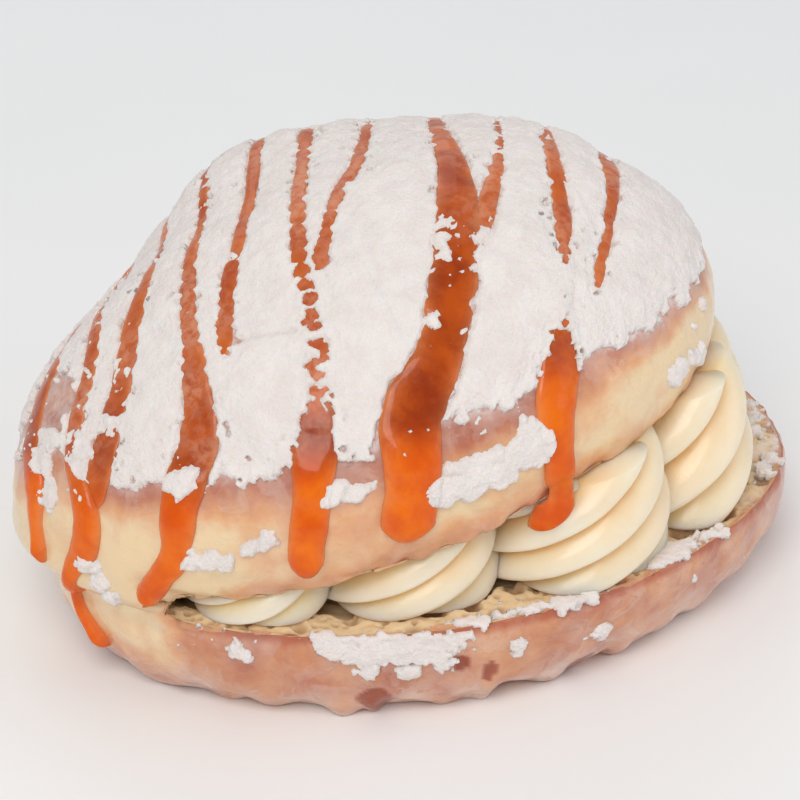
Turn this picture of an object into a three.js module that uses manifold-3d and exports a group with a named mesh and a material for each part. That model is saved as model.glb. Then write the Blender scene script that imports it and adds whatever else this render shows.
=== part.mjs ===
import * as THREE from "three";
import { mergeVertices } from "three/addons/utils/BufferGeometryUtils.js";
import Module from "manifold-3d";

// A cream-filled doughnut: an oval ball of fried dough, cut open round the front and both ends and still
// joined along the back-left, with a ring of piped cream rosettes in the cut. Caramel strands run over the
// dome and drip at its edge, and clumps of powdered sugar sit on it. Millimetres, +Z up, the long axis on X.
// Angles are degrees round the oval, from +X towards +Y. "Reach" is the way down the dome as a share:
// 0 at its crown, 1 at its widest ring, 1 + sideSpan at the lip of the cut.

const bun = {
  halfLength: 57.7,
  halfWidth: 41.8,
  cutHeight: 15.7, // the lower half's thickness
  topShare: 0.942, // the dome's outline against the lower half's
  topShiftX: -5.25,
  topShiftY: -0.2,
  crownHeight: 43.4, // over the dome's own cut face
  widestHeight: 8.2,
  lipTuck: 0.05,
  sideSpan: 0.12,
  leanX: 0.059, // how far the crown leans to one end and one side
  leanY: 0.104,
  endDrop: 0.186,
  leanLength: 55,
  baseTuck: 0.168, // how far the base draws in, as a share of the outline
  baseCurve: 3.4,
  baseShiftX: -1.35,
  rimTuck: 0.015, // the rim's edge turns in over the first quarter of the wall
  centreX: 2.9, // from the outline's middle to the middle of the whole
  waves: [ // unevenness of the outline: how many round it, how strong, and where they start
    { count: 3, share: 0.006, start: 1 },
    { count: 5, share: 0.004, start: 2 },
  ],
};

const mouth = {
  direction: -20.9, // the way the cut opens
  angle: 14.65,
  pivot: -38.9, // the hinge line's place along that direction
  from: 214, // the front-left corner of the cut
  to: 466, // the back corner
  cornerRound: 3,
  leastGap: 3.4,
  backBulge: 3,
  bendHeight: 11, // over this height the dome's wall bends to meet the lower half at the hinge
  lowerBend: 9,
};
const wallReach = 0.35; // how much of the map the lower half's wall takes up, past the dome's lip

const grid = { mouthColumns: 52, hingeColumns: 12, crowding: 0.5, domeRows: 14, sideRows: 3, wallRows: 7 };
const cutShares = [0.5, 0.88, 0.95, 0.985];
const endWallPower = 24;

// Broad swells of the dome's skin. place is on the dome's map: reach times the cosine and sine of the angle.
const swells = [
  { place: [-0.04, 0.3], spread: 0.17, height: 2.4 },
  { place: [-0.34, 0.26], spread: 0.18, height: -2.4 },
  { place: [-0.8, 0.12], spread: 0.3, height: 1.2 },
  { place: [0.2, 0.1], spread: 0.2, height: -1.2 },
  { place: [0.5, 0.15], spread: 0.2, height: 1 },
  { place: [0.4, 0.66], spread: 0.26, height: -1.4 },
  { place: [-0.42, 0.56], spread: 0.22, height: -1.6 },
  { place: [-0.78, 0.3], spread: 0.22, height: -0.8 },
];

// Caramel strands: places on the map from the back, over the crown, to the front edge, each with the strand's
// width there. Past the dome's lip the map goes on down the lower half's wall.
const strands = [
  [[-0.25, 0.56, 1.8], [-0.44, 0.3, 2], [-0.6, 0.14, 2.6], [-0.75, 0, 4.2], [-0.84, -0.11, 3.8],
    [-0.94, -0.13, 2.2], [-1.08, -0.2, 1.8]],
  [[-0.22, 0.62, 1.8], [-0.38, 0.27, 1.8], [-0.47, -0.03, 2.4], [-0.63, -0.21, 2.6], [-0.74, -0.36, 4.6],
    [-0.87, -0.39, 4], [-1.02, -0.32, 2.2], [-1.16, -0.27, 2], [-1.25, -0.44, 1.8]],
  [[-0.1, 0.66, 1.8], [-0.22, 0.32, 2], [-0.31, 0.05, 2.6], [-0.44, -0.17, 3.2], [-0.57, -0.29, 3.4],
    [-0.72, -0.36, 3.6]],
  [[0.03, 0.72, 1.8], [-0.14, 0.2, 2], [-0.27, -0.13, 2.2], [-0.34, -0.33, 3.6], [-0.41, -0.47, 6.2],
    [-0.53, -0.56, 5.8], [-0.68, -0.66, 4.4], [-0.84, -0.64, 3.6], [-0.98, -0.56, 3.4]],
  [[0.12, 0.74, 1.8], [-0.01, 0.28, 1.8], [-0.12, -0.03, 1.8], [-0.21, -0.2, 2.6], [-0.29, -0.36, 3]],
  [[0.2, 0.76, 1.8], [0.05, 0.18, 1.8], [-0.07, -0.2, 2], [-0.11, -0.36, 3.4], [-0.16, -0.52, 3],
    [-0.24, -0.67, 5.8], [-0.34, -0.82, 5.2], [-0.47, -0.96, 5]],
  [[0.33, 0.73, 1.8], [0.12, 0.05, 1.8], [0.02, -0.14, 1.8], [-0.08, -0.32, 2.6]],
  [[0.42, 0.74, 2.6], [0.27, 0.05, 3.4], [0.21, -0.24, 5.4], [0.14, -0.45, 6.6], [0.05, -0.63, 7],
    [-0.05, -0.74, 8.2], [-0.11, -0.9, 7.2], [-0.19, -1.04, 6.6]],
  [[0.54, 0.64, 1.8], [0.38, 0.05, 1.8], [0.29, -0.2, 2.4], [0.22, -0.36, 3.8]],
  [[0.64, 0.58, 1.8], [0.46, 0, 2], [0.38, -0.38, 2.4], [0.33, -0.6, 3.2], [0.3, -0.74, 6], [0.27, -0.88, 5.8],
    [0.28, -1.06, 4.2]],
  [[0.76, 0.44, 2.4], [0.62, 0.06, 3.8], [0.54, -0.21, 2.2], [0.42, -0.56, 1.8]],
];
const strand = { stationStep: 5.5, rise: 1.2, sink: 0.9, endRound: 2.2, endRise: 0.6 };

// Clumps of powdered sugar that stand proud of the dome.
const clumps = [
  { place: [0.06, -0.98], size: [7, 3, 1.6] },
  { place: [-0.26, -0.84], size: [4, 2, 1.1] },
  { place: [-0.63, -0.77], size: [3.2, 2, 1.1] },
  { place: [0.79, -0.7], size: [3, 2.2, 1.2] },
  { place: [0.3, 0.84], size: [6, 3, 1.4] },
  { place: [-0.5, 0.72], size: [4, 2.4, 1.2] },
];

// Piped rosettes of cream, by the angle of each one's middle: half its width along the rim, how deep it
// reaches inwards, how far its foot stays inside the rim, how deep its ridges are as a share of its radius, the
// climb of one ridge in a full turn, and how much of its radius it loses towards the ceiling.
const rosettes = [
  { at: 227, half: 11, deep: 10, inset: 0.9, ridge: 0.14, pitch: 24, tuck: 0.1 },
  { at: 254, half: 14, deep: 12.5, inset: 2.6, ridge: 0.16, pitch: 26, tuck: 0.15 },
  { at: 285, half: 15.5, deep: 14.5, inset: -0.4, ridge: 0.18, pitch: 30, tuck: 0.2 },
  { at: 314.5, half: 14.5, deep: 14.5, inset: 1.4, ridge: 0.26, pitch: 44, tuck: 0.28 },
  { at: 347, half: 13, deep: 13, inset: 6, ridge: 0.2, pitch: 36, tuck: 0.5 },
  { at: 20, half: 14, deep: 14, inset: 7.5, ridge: 0.18, pitch: 30, tuck: 0.42 },
  { at: 56, half: 14.5, deep: 13.5, inset: 4, ridge: 0.17, pitch: 28, tuck: 0.18 },
  { at: 90, half: 11.5, deep: 11, inset: 2.4, ridge: 0.15, pitch: 24, tuck: 0.12 },
];
const cream = {
  rows: 7,
  starts: 5, // ridges round a rosette
  // Across one ridge, as shares of its width and depth: it swells to its crest, then steps back in.
  section: [[0, 0], [0.14, 0.55], [0.4, 0.9], [0.68, 1], [0.9, 0.66]],
  footTuck: 0.03,
  clearance: 0.35, // to the dough above and below
  coreInset: 15,
  coreBack: 0.86, // the core's inner edge, as a share of the way to the end of the cut
  coreMargin: 8, // degrees from each corner of the cut
  coreColumns: 24,
  backColumns: 8,
  ceilingSteps: 8,
};

const colours = { dough: 0xd9a878, cream: 0xfaebc8 };
const radians = THREE.MathUtils.degToRad;
const openDirection = new THREE.Vector2(Math.cos(radians(mouth.direction)), Math.sin(radians(mouth.direction)));
const lipReach = 1 + bun.sideSpan;

function outline(angle) {
  const wave = ({ count, share, start }) => share * Math.cos(count * angle + start);
  const uneven = bun.waves.reduce((sum, each) => sum + wave(each), 1);
  return [bun.halfLength * Math.cos(angle) * uneven, bun.halfWidth * Math.sin(angle) * uneven];
}

// Turns a point of the dome, still flat on its own cut face, up round the hinge line.
function tilt(x, y, z) {
  const turn = radians(mouth.angle);
  const along = x * openDirection.x + y * openDirection.y;
  const arm = along - mouth.pivot;
  const shift = arm * Math.cos(turn) - z * Math.sin(turn) + mouth.pivot - along;
  const height = arm * Math.sin(turn) + z * Math.cos(turn) + bun.cutHeight;
  return new THREE.Vector3(x + shift * openDirection.x, y + shift * openDirection.y, height);
}

// Height of the cut over the lower half's cut face.
function gapAt(x, y) {
  const arm = x * openDirection.x + y * openDirection.y - mouth.pivot;
  const wedge = Math.max(arm * Math.tan(radians(mouth.angle)), 0);
  return Math.hypot(wedge, mouth.leastGap);
}

// How far round the mouth an angle lies: 0 at its first corner, 1 at its second, more than 1 in the hinge.
function mouthShare(angle) {
  const past = THREE.MathUtils.euclideanModulo(THREE.MathUtils.radToDeg(angle) - mouth.from, 360);
  return past / (mouth.to - mouth.from);
}

function openShare(angle) {
  const share = mouthShare(angle);
  if (share > 1) return 0;
  const nearest = Math.min(share, 1 - share) * (mouth.to - mouth.from);
  const rounded = THREE.MathUtils.clamp(nearest / mouth.cornerRound, 0, 1);
  return Math.sqrt(1 - (1 - rounded) ** 2);
}

function swellAt(angle, reach) {
  let height = 0;
  for (const { place, spread, height: most } of swells) {
    const across = reach * Math.cos(angle) - place[0];
    const along = reach * Math.sin(angle) - place[1];
    height += most * Math.exp(-(across ** 2 + along ** 2) / spread ** 2);
  }
  return height;
}

// The dome before it is tilted: an ellipsoid down to its widest ring, then a short side that tucks in.
function domeLocal(angle, reach) {
  const [ox, oy] = outline(angle);
  const turn = (Math.min(reach, 1) * Math.PI) / 2;
  const side = THREE.MathUtils.clamp((reach - 1) / bun.sideSpan, 0, 1);
  const spread = bun.topShare * Math.sin(turn) * (1 - bun.lipTuck * side * side);
  let [x, y] = [ox * spread, oy * spread];
  const across = x / bun.leanLength;
  const lift = 1 + bun.leanX * across + (bun.leanY * y) / bun.leanLength - bun.endDrop * across ** 2;
  const rise = (bun.crownHeight - bun.widestHeight) * Math.cos(turn) * lift;
  let z = reach <= 1 ? bun.widestHeight + rise : bun.widestHeight * (1 - side);
  const grow = 1 + swellAt(angle, reach) / Math.hypot(x, y, z, 1);
  [x, y, z] = [x * grow, y * grow, z * grow];
  return [x + bun.topShiftX, y + bun.topShiftY, z];
}

// The edges of the cut at an angle. In the hinge both lips meet half-way.
function lips(angle) {
  const closedUpper = tilt(...domeLocal(angle, lipReach));
  const [ox, oy] = outline(angle);
  const rim = 1 - bun.rimTuck;
  const closedLower = new THREE.Vector3(ox * rim, oy * rim, bun.cutHeight);
  const openUpper = closedUpper.clone().setZ(bun.cutHeight + gapAt(closedUpper.x, closedUpper.y));
  const seam = openUpper.clone().add(closedLower).divideScalar(2);
  seam.z = bun.cutHeight + gapAt(seam.x, seam.y) / 2;
  const open = openShare(angle);
  return {
    closedUpper,
    closedLower,
    seam,
    upper: seam.clone().lerp(openUpper, open),
    lower: seam.clone().lerp(closedLower, open),
  };
}

function domeSkin(angle, reach) {
  const local = domeLocal(angle, reach);
  const edges = lips(angle);
  const bend = THREE.MathUtils.clamp(1 - local[2] / mouth.bendHeight, 0, 1) ** 2;
  return tilt(...local).addScaledVector(edges.upper.clone().sub(edges.closedUpper), bend);
}

// The lower half's wall: 0 at its rim, 1 at the edge of its base.
function wallSkin(angle, drop) {
  const [ox, oy] = outline(angle);
  const rim = bun.rimTuck * THREE.MathUtils.clamp(1 - drop * 4, 0, 1) ** 2;
  const curve = drop ** bun.baseCurve;
  const spread = 1 - bun.baseTuck * curve - rim;
  const point = new THREE.Vector3(ox * spread + bun.baseShiftX * curve, oy * spread, bun.cutHeight * (1 - drop));
  const edges = lips(angle);
  const bend = THREE.MathUtils.clamp(1 - (drop * bun.cutHeight) / mouth.lowerBend, 0, 1) ** 2;
  return point.addScaledVector(edges.lower.clone().sub(edges.closedLower), bend);
}

// The inner end of the cut: a slightly bowed line from one corner of the mouth to the other.
function cutEnd(angle) {
  const share = THREE.MathUtils.clamp(mouthShare(angle), 0, 1);
  const first = lips(radians(mouth.from)).seam;
  const last = lips(radians(mouth.to)).seam;
  const bow = mouth.backBulge * Math.sin(Math.PI * share);
  const x = THREE.MathUtils.lerp(first.x, last.x, share) - openDirection.x * bow;
  const y = THREE.MathUtils.lerp(first.y, last.y, share) - openDirection.y * bow;
  return [x, y];
}

// A face of the cut, from its lip (0) to the inner end (1). side is 1 for the ceiling and -1 for the floor.
function cutFace(angle, depth, side) {
  const edges = lips(angle);
  if (mouthShare(angle) > 1) return edges.seam;
  const start = side > 0 ? edges.upper : edges.lower;
  const [ex, ey] = cutEnd(angle);
  const x = THREE.MathUtils.lerp(start.x, ex, depth);
  const y = THREE.MathUtils.lerp(start.y, ey, depth);
  const gap = gapAt(x, y);
  const half = (gap / 2) * Math.sqrt(1 - depth ** endWallPower) * openShare(angle);
  return new THREE.Vector3(x, y, bun.cutHeight + gap / 2 + side * half);
}

// A closed mesh from rings of points between a single point at each end. Seen from its start, each ring runs
// counter-clockwise.
function ringMesh(start, rings, end) {
  const columns = rings[0].length;
  const points = [start, ...rings.flat(), end];
  const faces = [];
  const at = (row, column) => 1 + row * columns + (column % columns);
  for (let column = 0; column < columns; column++) {
    faces.push(0, at(0, column), at(0, column + 1));
    for (let row = 0; row + 1 < rings.length; row++) {
      const corners = [at(row, column), at(row + 1, column), at(row + 1, column + 1), at(row, column + 1)];
      faces.push(corners[0], corners[1], corners[2], corners[0], corners[2], corners[3]);
    }
    faces.push(points.length - 1, at(rings.length - 1, column + 1), at(rings.length - 1, column));
  }
  const geometry = new THREE.BufferGeometry();
  geometry.setAttribute("position", new THREE.Float32BufferAttribute(points.flatMap((p) => p.toArray()), 3));
  geometry.setIndex(faces);
  return geometry;
}

// Drops the faces that lose a side when coinciding points are merged.
function withoutSlivers(geometry) {
  geometry.deleteAttribute("normal");
  geometry.deleteAttribute("uv");
  const merged = mergeVertices(geometry, 1e-3);
  const index = merged.index.array;
  const kept = [];
  for (let i = 0; i < index.length; i += 3) {
    const [a, b, c] = index.subarray(i, i + 3);
    if (a !== b && b !== c && c !== a) kept.push(a, b, c);
  }
  merged.setIndex(kept);
  return merged;
}

const wasm = await Module();
wasm.setup();

function toSolid(geometry) {
  const clean = withoutSlivers(geometry);
  const vertProperties = new Float32Array(clean.attributes.position.array);
  const triVerts = new Uint32Array(clean.index.array);
  return new wasm.Manifold(new wasm.Mesh({ numProp: 3, vertProperties, triVerts }));
}

function fromSolid(solid) {
  const mesh = solid.getMesh();
  const geometry = new THREE.BufferGeometry();
  geometry.setAttribute("position", new THREE.BufferAttribute(mesh.vertProperties, 3));
  geometry.setIndex(new THREE.BufferAttribute(mesh.triVerts, 1));
  return geometry;
}

// Spaces 0..1 so that the steps are short at both ends.
const crowded = (share) => share - (grid.crowding * Math.sin(2 * Math.PI * share)) / (2 * Math.PI);

function doughColumns() {
  const angles = [];
  const span = mouth.to - mouth.from;
  for (let i = 0; i < grid.mouthColumns; i++) {
    angles.push(radians(mouth.from + span * crowded(i / grid.mouthColumns)));
  }
  for (let i = 0; i < grid.hingeColumns; i++) {
    angles.push(radians(mouth.to + (360 - span) * crowded(i / grid.hingeColumns)));
  }
  return angles;
}

function doughBall() {
  const angles = doughColumns();
  const rows = [];
  const add = (shape) => rows.push(angles.map(shape));
  for (let i = 1; i <= grid.domeRows; i++) add((a) => domeSkin(a, i / grid.domeRows));
  for (let i = 1; i <= grid.sideRows; i++) add((a) => domeSkin(a, 1 + (bun.sideSpan * i) / grid.sideRows));
  for (const depth of [...cutShares, 1]) add((a) => cutFace(a, depth, 1));
  for (const depth of [...cutShares].reverse()) add((a) => cutFace(a, depth, -1));
  for (let i = 0; i <= grid.wallRows; i++) add((a) => wallSkin(a, Math.sin((i / grid.wallRows) * Math.PI / 2)));
  const base = new THREE.Vector3(bun.baseShiftX, 0, 0);
  return toSolid(ringMesh(domeSkin(0, 0), rows, base));
}

// A place on the map, with the skin's outward normal there.
function onSkin(place) {
  const step = 0.01; // on the map, for the slopes
  const skin = (p, q) => {
    const [angle, reach] = [Math.atan2(q, p), Math.hypot(p, q)];
    return reach > lipReach ? wallSkin(angle, (reach - lipReach) / wallReach) : domeSkin(angle, reach);
  };
  const [p, q] = place;
  const alongP = skin(p + step, q).sub(skin(p - step, q));
  const alongQ = skin(p, q + step).sub(skin(p, q - step));
  return { point: skin(p, q), normal: alongP.cross(alongQ).normalize() };
}

// A strand of caramel: a low section with sloping sides carried along its path, thicker to the front, with
// rounded ends. The path's third coordinate is its width in the map's own unit, the half-length.
function caramelStrand(path) {
  const knots = path.map(([p, q, width]) => new THREE.Vector3(p, q, width / bun.halfLength));
  const line = new THREE.CatmullRomCurve3(knots, false, "catmullrom");
  const stations = Math.ceil((line.getLength() * bun.halfLength) / strand.stationStep);
  const station = (v) => ({ ...onSkin([v.x, v.y]), width: v.z * bun.halfLength });
  const places = line.getSpacedPoints(stations).map(station);
  const length = places.slice(1).reduce((sum, place, i) => sum + place.point.distanceTo(places[i].point), 0);
  const rings = places.map(({ point, normal, width }, i) => {
    const share = i / stations;
    const before = places[Math.max(i - 1, 0)].point;
    const after = places[Math.min(i + 1, stations)].point;
    const forward = after.clone().sub(before).normalize();
    const across = forward.clone().cross(normal).normalize();
    const fromEnd = Math.min(share, 1 - share) * length;
    const thin = Math.sqrt(THREE.MathUtils.clamp((fromEnd + 0.6) / strand.endRound, 0.1, 1));
    const half = (width / 2) * thin;
    const rise = (strand.rise + strand.endRise * share ** 4) * thin;
    const section = [[half, -strand.sink], [0.6 * half, rise], [-0.6 * half, rise], [-half, -strand.sink]];
    return section.map(([sideways, up]) =>
      point.clone().addScaledVector(across, sideways).addScaledVector(normal, up),
    );
  });
  const middle = (ring) => ring.reduce((sum, v) => sum.add(v), new THREE.Vector3()).divideScalar(ring.length);
  return toSolid(ringMesh(middle(rings[0]), rings, middle(rings.at(-1))));
}

// A clump of sugar: a coarse flattened ball, its own length across the dome's slope.
function sugarClump({ place, size }) {
  const { point, normal } = onSkin(place);
  const across = new THREE.Vector3(0, 0, 1).cross(normal).normalize();
  const down = normal.clone().cross(across);
  const matrix = new THREE.Matrix4().makeBasis(across, down, normal).setPosition(point);
  const ball = new THREE.IcosahedronGeometry(1, 1);
  ball.scale(...size);
  return toSolid(ball.applyMatrix4(matrix));
}

function dough() {
  const toppings = [...strands.map(caramelStrand), ...clumps.map(sugarClump)];
  return toppings.reduce((whole, topping) => whole.add(topping), doughBall());
}

// A rosette: an oval column, a little taller than the cut. Its ridges wind up round it, so each column of its
// grid turns as it climbs and stays on its own part of a ridge.
function rosette({ at, half, deep, inset, ridge, pitch, tuck }) {
  const angle = radians(at);
  const [ox, oy] = outline(angle);
  const rim = new THREE.Vector2(ox, oy);
  const outward = new THREE.Vector2(ox / bun.halfLength ** 2, oy / bun.halfWidth ** 2).normalize();
  const middle = rim.addScaledVector(outward, -(inset + deep));
  const gap = gapAt(middle.x, middle.y);
  const columns = Array.from({ length: cream.starts }, (_, start) =>
    cream.section.map(([across, out]) => ({ turn: (start + across) / cream.starts, scale: 1 - ridge * (1 - out) })),
  ).flat();
  const rings = [];
  for (let row = cream.rows + 1; row >= -1; row--) {
    const share = row / cream.rows;
    const within = THREE.MathUtils.clamp(share, 0, 1);
    const swell = 1 - cream.footTuck * (1 - within) ** 4 - tuck * within ** 2.5;
    rings.push(
      columns.map(({ turn, scale }) => {
        const wound = 2 * Math.PI * (turn + (within * gap) / pitch);
        const outwards = Math.cos(wound) * deep * scale * swell;
        const sideways = Math.sin(wound) * half * scale * swell;
        const x = middle.x + outward.x * outwards - outward.y * sideways;
        const y = middle.y + outward.y * outwards + outward.x * sideways;
        return new THREE.Vector3(x, y, bun.cutHeight + share * gapAt(x, y));
      }),
    );
  }
  const end = (ring) => new THREE.Vector3(middle.x, middle.y, ring[0].z);
  return toSolid(ringMesh(end(rings[0]), rings, end(rings.at(-1))));
}

// The cream between the rosettes and the inner end of the cut.
function creamCore() {
  const plan = [];
  const span = mouth.to - mouth.from;
  for (let i = 0; i <= cream.coreColumns; i++) {
    const angle = radians(mouth.from + cream.coreMargin + (span - 2 * cream.coreMargin) * (i / cream.coreColumns));
    const rim = new THREE.Vector2(...outline(angle));
    plan.push(rim.multiplyScalar(1 - cream.coreInset / rim.length()));
  }
  for (let i = cream.backColumns; i >= 0; i--) {
    const angle = radians(mouth.from + cream.coreMargin + (span - 2 * cream.coreMargin) * (i / cream.backColumns));
    const back = cutFace(angle, cream.coreBack, -1);
    plan.push(new THREE.Vector2(back.x, back.y));
  }
  const depth = bun.crownHeight;
  const slab = new THREE.ExtrudeGeometry(new THREE.Shape(plan), { depth, bevelEnabled: false });
  return toSolid(slab.translate(0, 0, bun.cutHeight - 1));
}

// The space of the cut, clear of the dough above and below: its side view, carried across the doughnut.
function cutSpace() {
  const floor = bun.cutHeight + cream.clearance;
  const reach = 1.2 * bun.halfLength; // past the doughnut on every side
  const profile = [new THREE.Vector2(reach, floor), new THREE.Vector2(-reach, floor)];
  for (let i = 0; i <= cream.ceilingSteps; i++) {
    const along = THREE.MathUtils.lerp(mouth.pivot, reach, (i / cream.ceilingSteps) ** 2);
    const ceiling = bun.cutHeight + gapAt(along * openDirection.x, along * openDirection.y);
    if (i === 0) profile.push(new THREE.Vector2(-reach, ceiling - cream.clearance));
    profile.push(new THREE.Vector2(along, ceiling - cream.clearance));
  }
  const depth = 2 * reach;
  const space = new THREE.ExtrudeGeometry(new THREE.Shape(profile), { depth, bevelEnabled: false });
  space.translate(0, 0, -reach).rotateX(Math.PI / 2).rotateZ(radians(mouth.direction));
  return toSolid(space);
}

// Fills the hollows that joining has sealed: of a solid's separate skins, only those that enclose it are kept.
function withoutHollows(solid) {
  const outer = solid.decompose().filter((skin) => skin.volume() > 0);
  return outer.reduce((whole, next) => whole.add(next));
}

function filling() {
  const piped = rosettes.map(rosette).reduce((whole, next) => whole.add(next), creamCore());
  return withoutHollows(piped.intersect(cutSpace()));
}

function piece(name, solid, colour, roughness) {
  const material = new THREE.MeshStandardMaterial({ color: colour, roughness, metalness: 0 });
  const mesh = new THREE.Mesh(fromSolid(solid), material);
  mesh.name = name;
  return mesh;
}

const doughnut = new THREE.Group();
doughnut.add(piece("dough", dough(), colours.dough, 0.6));
doughnut.add(piece("cream", filling(), colours.cream, 0.4));
doughnut.position.set(bun.centreX, 0, 0);

export default doughnut;
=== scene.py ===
import bpy
import numpy as np
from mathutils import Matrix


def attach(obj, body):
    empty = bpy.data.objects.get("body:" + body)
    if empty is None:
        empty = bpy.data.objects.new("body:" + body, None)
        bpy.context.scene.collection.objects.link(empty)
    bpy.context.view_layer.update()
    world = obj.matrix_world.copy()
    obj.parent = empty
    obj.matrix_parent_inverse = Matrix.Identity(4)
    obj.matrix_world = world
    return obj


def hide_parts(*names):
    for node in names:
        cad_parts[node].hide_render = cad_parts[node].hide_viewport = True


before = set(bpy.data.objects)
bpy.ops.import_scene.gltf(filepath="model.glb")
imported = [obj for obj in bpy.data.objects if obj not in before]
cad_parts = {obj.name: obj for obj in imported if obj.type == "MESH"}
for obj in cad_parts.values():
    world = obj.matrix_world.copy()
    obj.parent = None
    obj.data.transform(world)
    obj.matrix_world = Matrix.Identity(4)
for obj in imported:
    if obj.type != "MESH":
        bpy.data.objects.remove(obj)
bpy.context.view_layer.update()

# A cream-filled doughnut with caramel strands and powdered sugar. Shapes are worked out in millimetres,
# in the frame's axes, with angles counter-clockwise round the oval from +X. The dome's map gives a place
# as p and q: its reach (0 at the crown, 1 at the widest ring) times the cosine and sine of its angle.
mm = 0.001
seedShift = 7.31  # lattice cells by which each seed moves its noise
degreesEach = 1 / 0.85  # about as many degrees round the rim as a millimetre there
print("frame loaded")

bun = {
    "halfLength": 57.7, "halfWidth": 41.8, "centreX": 2.9, "cutHeight": 15.7,
    "topShare": 0.942, "topShiftX": -5.25, "topShiftY": -0.2,
    "crownHeight": 43.4, "widestHeight": 8.2, "lipTuck": 0.05, "sideSpan": 0.12,
    "wallReach": 0.35, "leanX": 0.059, "leanY": 0.104, "endDrop": 0.186, "leanLength": 55.0,
    "baseTuck": 0.168, "baseCurve": 3.4, "baseShiftX": -1.35, "rimTuck": 0.015, "rimRound": 4,
    "waves": ((3, 0.006, 1), (5, 0.004, 2)),  # how many round the outline, how strong, where they start
}
mouth = {
    "direction": -20.9, "angle": 14.65, "pivot": -38.9, "from": 214.0, "to": 466.0,
    "cornerRound": 3.0, "leastGap": 3.4, "backBulge": 3.0, "bendHeight": 11.0, "lowerBend": 9.0,
    "endPower": 24,
}
swells = (  # broad rises and dents of the dome: p, q, spread on the map, height
    (-0.04, 0.3, 0.17, 2.4), (-0.34, 0.26, 0.18, -2.4), (-0.8, 0.12, 0.3, 1.2), (0.2, 0.1, 0.2, -1.2),
    (0.5, 0.15, 0.2, 1.0), (0.4, 0.66, 0.26, -1.4), (-0.42, 0.56, 0.22, -1.6), (-0.78, 0.3, 0.22, -0.8),
)
sugarEdge = {  # how far down the map the sugar's main cover reaches at each angle
    "angles": (0, 90, 170, 195, 208, 236, 247, 255, 268, 273, 281, 287, 298, 303, 308, 316, 338, 360),
    "limits": (0.86, 0.84, 0.78, 0.68, 0.74, 0.74, 0.74, 0.79, 0.78, 0.8, 0.82, 0.8, 0.8, 0.84, 0.87, 0.88,
               0.88, 0.86),
}
paleEdge = {  # where the pale band starts, and how far its colour goes towards tan
    "angles": (0, 150, 198, 216, 236, 250, 262, 280, 300, 323, 360),
    "starts": (0.98, 0.92, 0.86, 0.88, 0.92, 0.97, 0.98, 0.97, 0.97, 0.97, 0.98),
    "tones": (0.12, 0.1, 0.04, 0.05, 0.12, 0.2, 0.26, 0.2, 0.09, 0.07, 0.1),
}
openWay = np.array([np.cos(np.radians(mouth["direction"])), np.sin(np.radians(mouth["direction"]))])
lipReach = 1 + bun["sideSpan"]


# Smooth noise in -1..1: a hashed value at each corner of the point's lattice cell, blended by smooth
# steps.
def noise(points, size, seed):
    q = points / size + seedShift * seed
    cell = np.floor(q).astype(np.int64)
    f = q - cell
    f = f * f * (3 - 2 * f)
    total = np.zeros(q.shape[:-1])
    for corner in range(8):
        bit = np.array([corner & 1, corner >> 1 & 1, corner >> 2])
        weight = np.prod(np.where(bit, f, 1 - f), axis=-1)
        total += weight * (hashed(cell + bit, seed) * 2 - 1)
    return total


# A random value in 0..1 for each lattice cell: its coordinates mixed by multiplying by large whole
# numbers and shifting.
def hashed(cell, seed):
    h = cell[..., 0] * 374761393 + cell[..., 1] * 668265263 + cell[..., 2] * 1442695041 + seed * 97531
    h = (h ^ (h >> 13)) * 1274126177
    h = (h ^ (h >> 16)) * 668265263
    return ((h ^ (h >> 15)) & 0xFFFFFF) / 0xFFFFFF


# Rough noise: layers of noise added, each half the size and half the strength of the one before.
def roughNoise(points, size, layers, seed):
    total = sum(noise(points, size / 2 ** k, seed + k) / 2 ** k for k in range(layers))
    return total / (2 - 2 ** (1 - layers))


# Distance to the nearest of one random point in each lattice cell, in cell widths.
def cellDistance(points, size, seed):
    q = points / size
    cell = np.floor(q).astype(np.int64)
    nearest = np.full(q.shape[:-1], 9.0)
    for step in np.ndindex(3, 3, 3):
        near = cell + np.array(step) - 1
        spot = near + np.stack([hashed(near, seed + k) for k in range(3)], axis=-1)
        nearest = np.minimum(nearest, ((q - spot) ** 2).sum(axis=-1))
    return np.sqrt(nearest)


# A smooth step from 0 to 1 as value goes from low to high.
def smooth(value, low, high):
    t = np.clip((value - low) / (high - low), 0, 1)
    return t * t * (3 - 2 * t)


# Vectors brought to a length of 1.
def unit(vectors):
    return vectors / np.maximum(np.linalg.norm(vectors, axis=-1, keepdims=True), 1e-12)


# Degrees from one angle round to others, between -180 and 180.
def degreesFrom(at, degrees):
    return (degrees - at + 180) % 360 - 180


# The angle round the oval of each point, from its x and y as shares of the oval's half-lengths.
def angleOf(points):
    return np.arctan2(points[..., 1] / bun["halfWidth"], points[..., 0] / bun["halfLength"])


# An ellipse with a few weak waves round it.
def outline(angle):
    uneven = 1 + sum(share * np.cos(count * angle + start) for count, share, start in bun["waves"])
    return bun["halfLength"] * np.cos(angle) * uneven, bun["halfWidth"] * np.sin(angle) * uneven


# Turns dome points that are flat on their own cut face up round the hinge line.
def tilt(p):
    turn = np.radians(mouth["angle"])
    along = p[..., :2] @ openWay
    arm = along - mouth["pivot"]
    shift = arm * np.cos(turn) - p[..., 2] * np.sin(turn) + mouth["pivot"] - along
    height = arm * np.sin(turn) + p[..., 2] * np.cos(turn) + bun["cutHeight"]
    return np.stack([p[..., 0] + shift * openWay[0], p[..., 1] + shift * openWay[1], height], axis=-1)


# Height of the cut over the lower half: a wedge that grows from the hinge line, never less than its
# least gap.
def gapAt(x, y):
    arm = x * openWay[0] + y * openWay[1] - mouth["pivot"]
    return np.hypot(np.maximum(arm * np.tan(np.radians(mouth["angle"])), 0), mouth["leastGap"])


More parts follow.
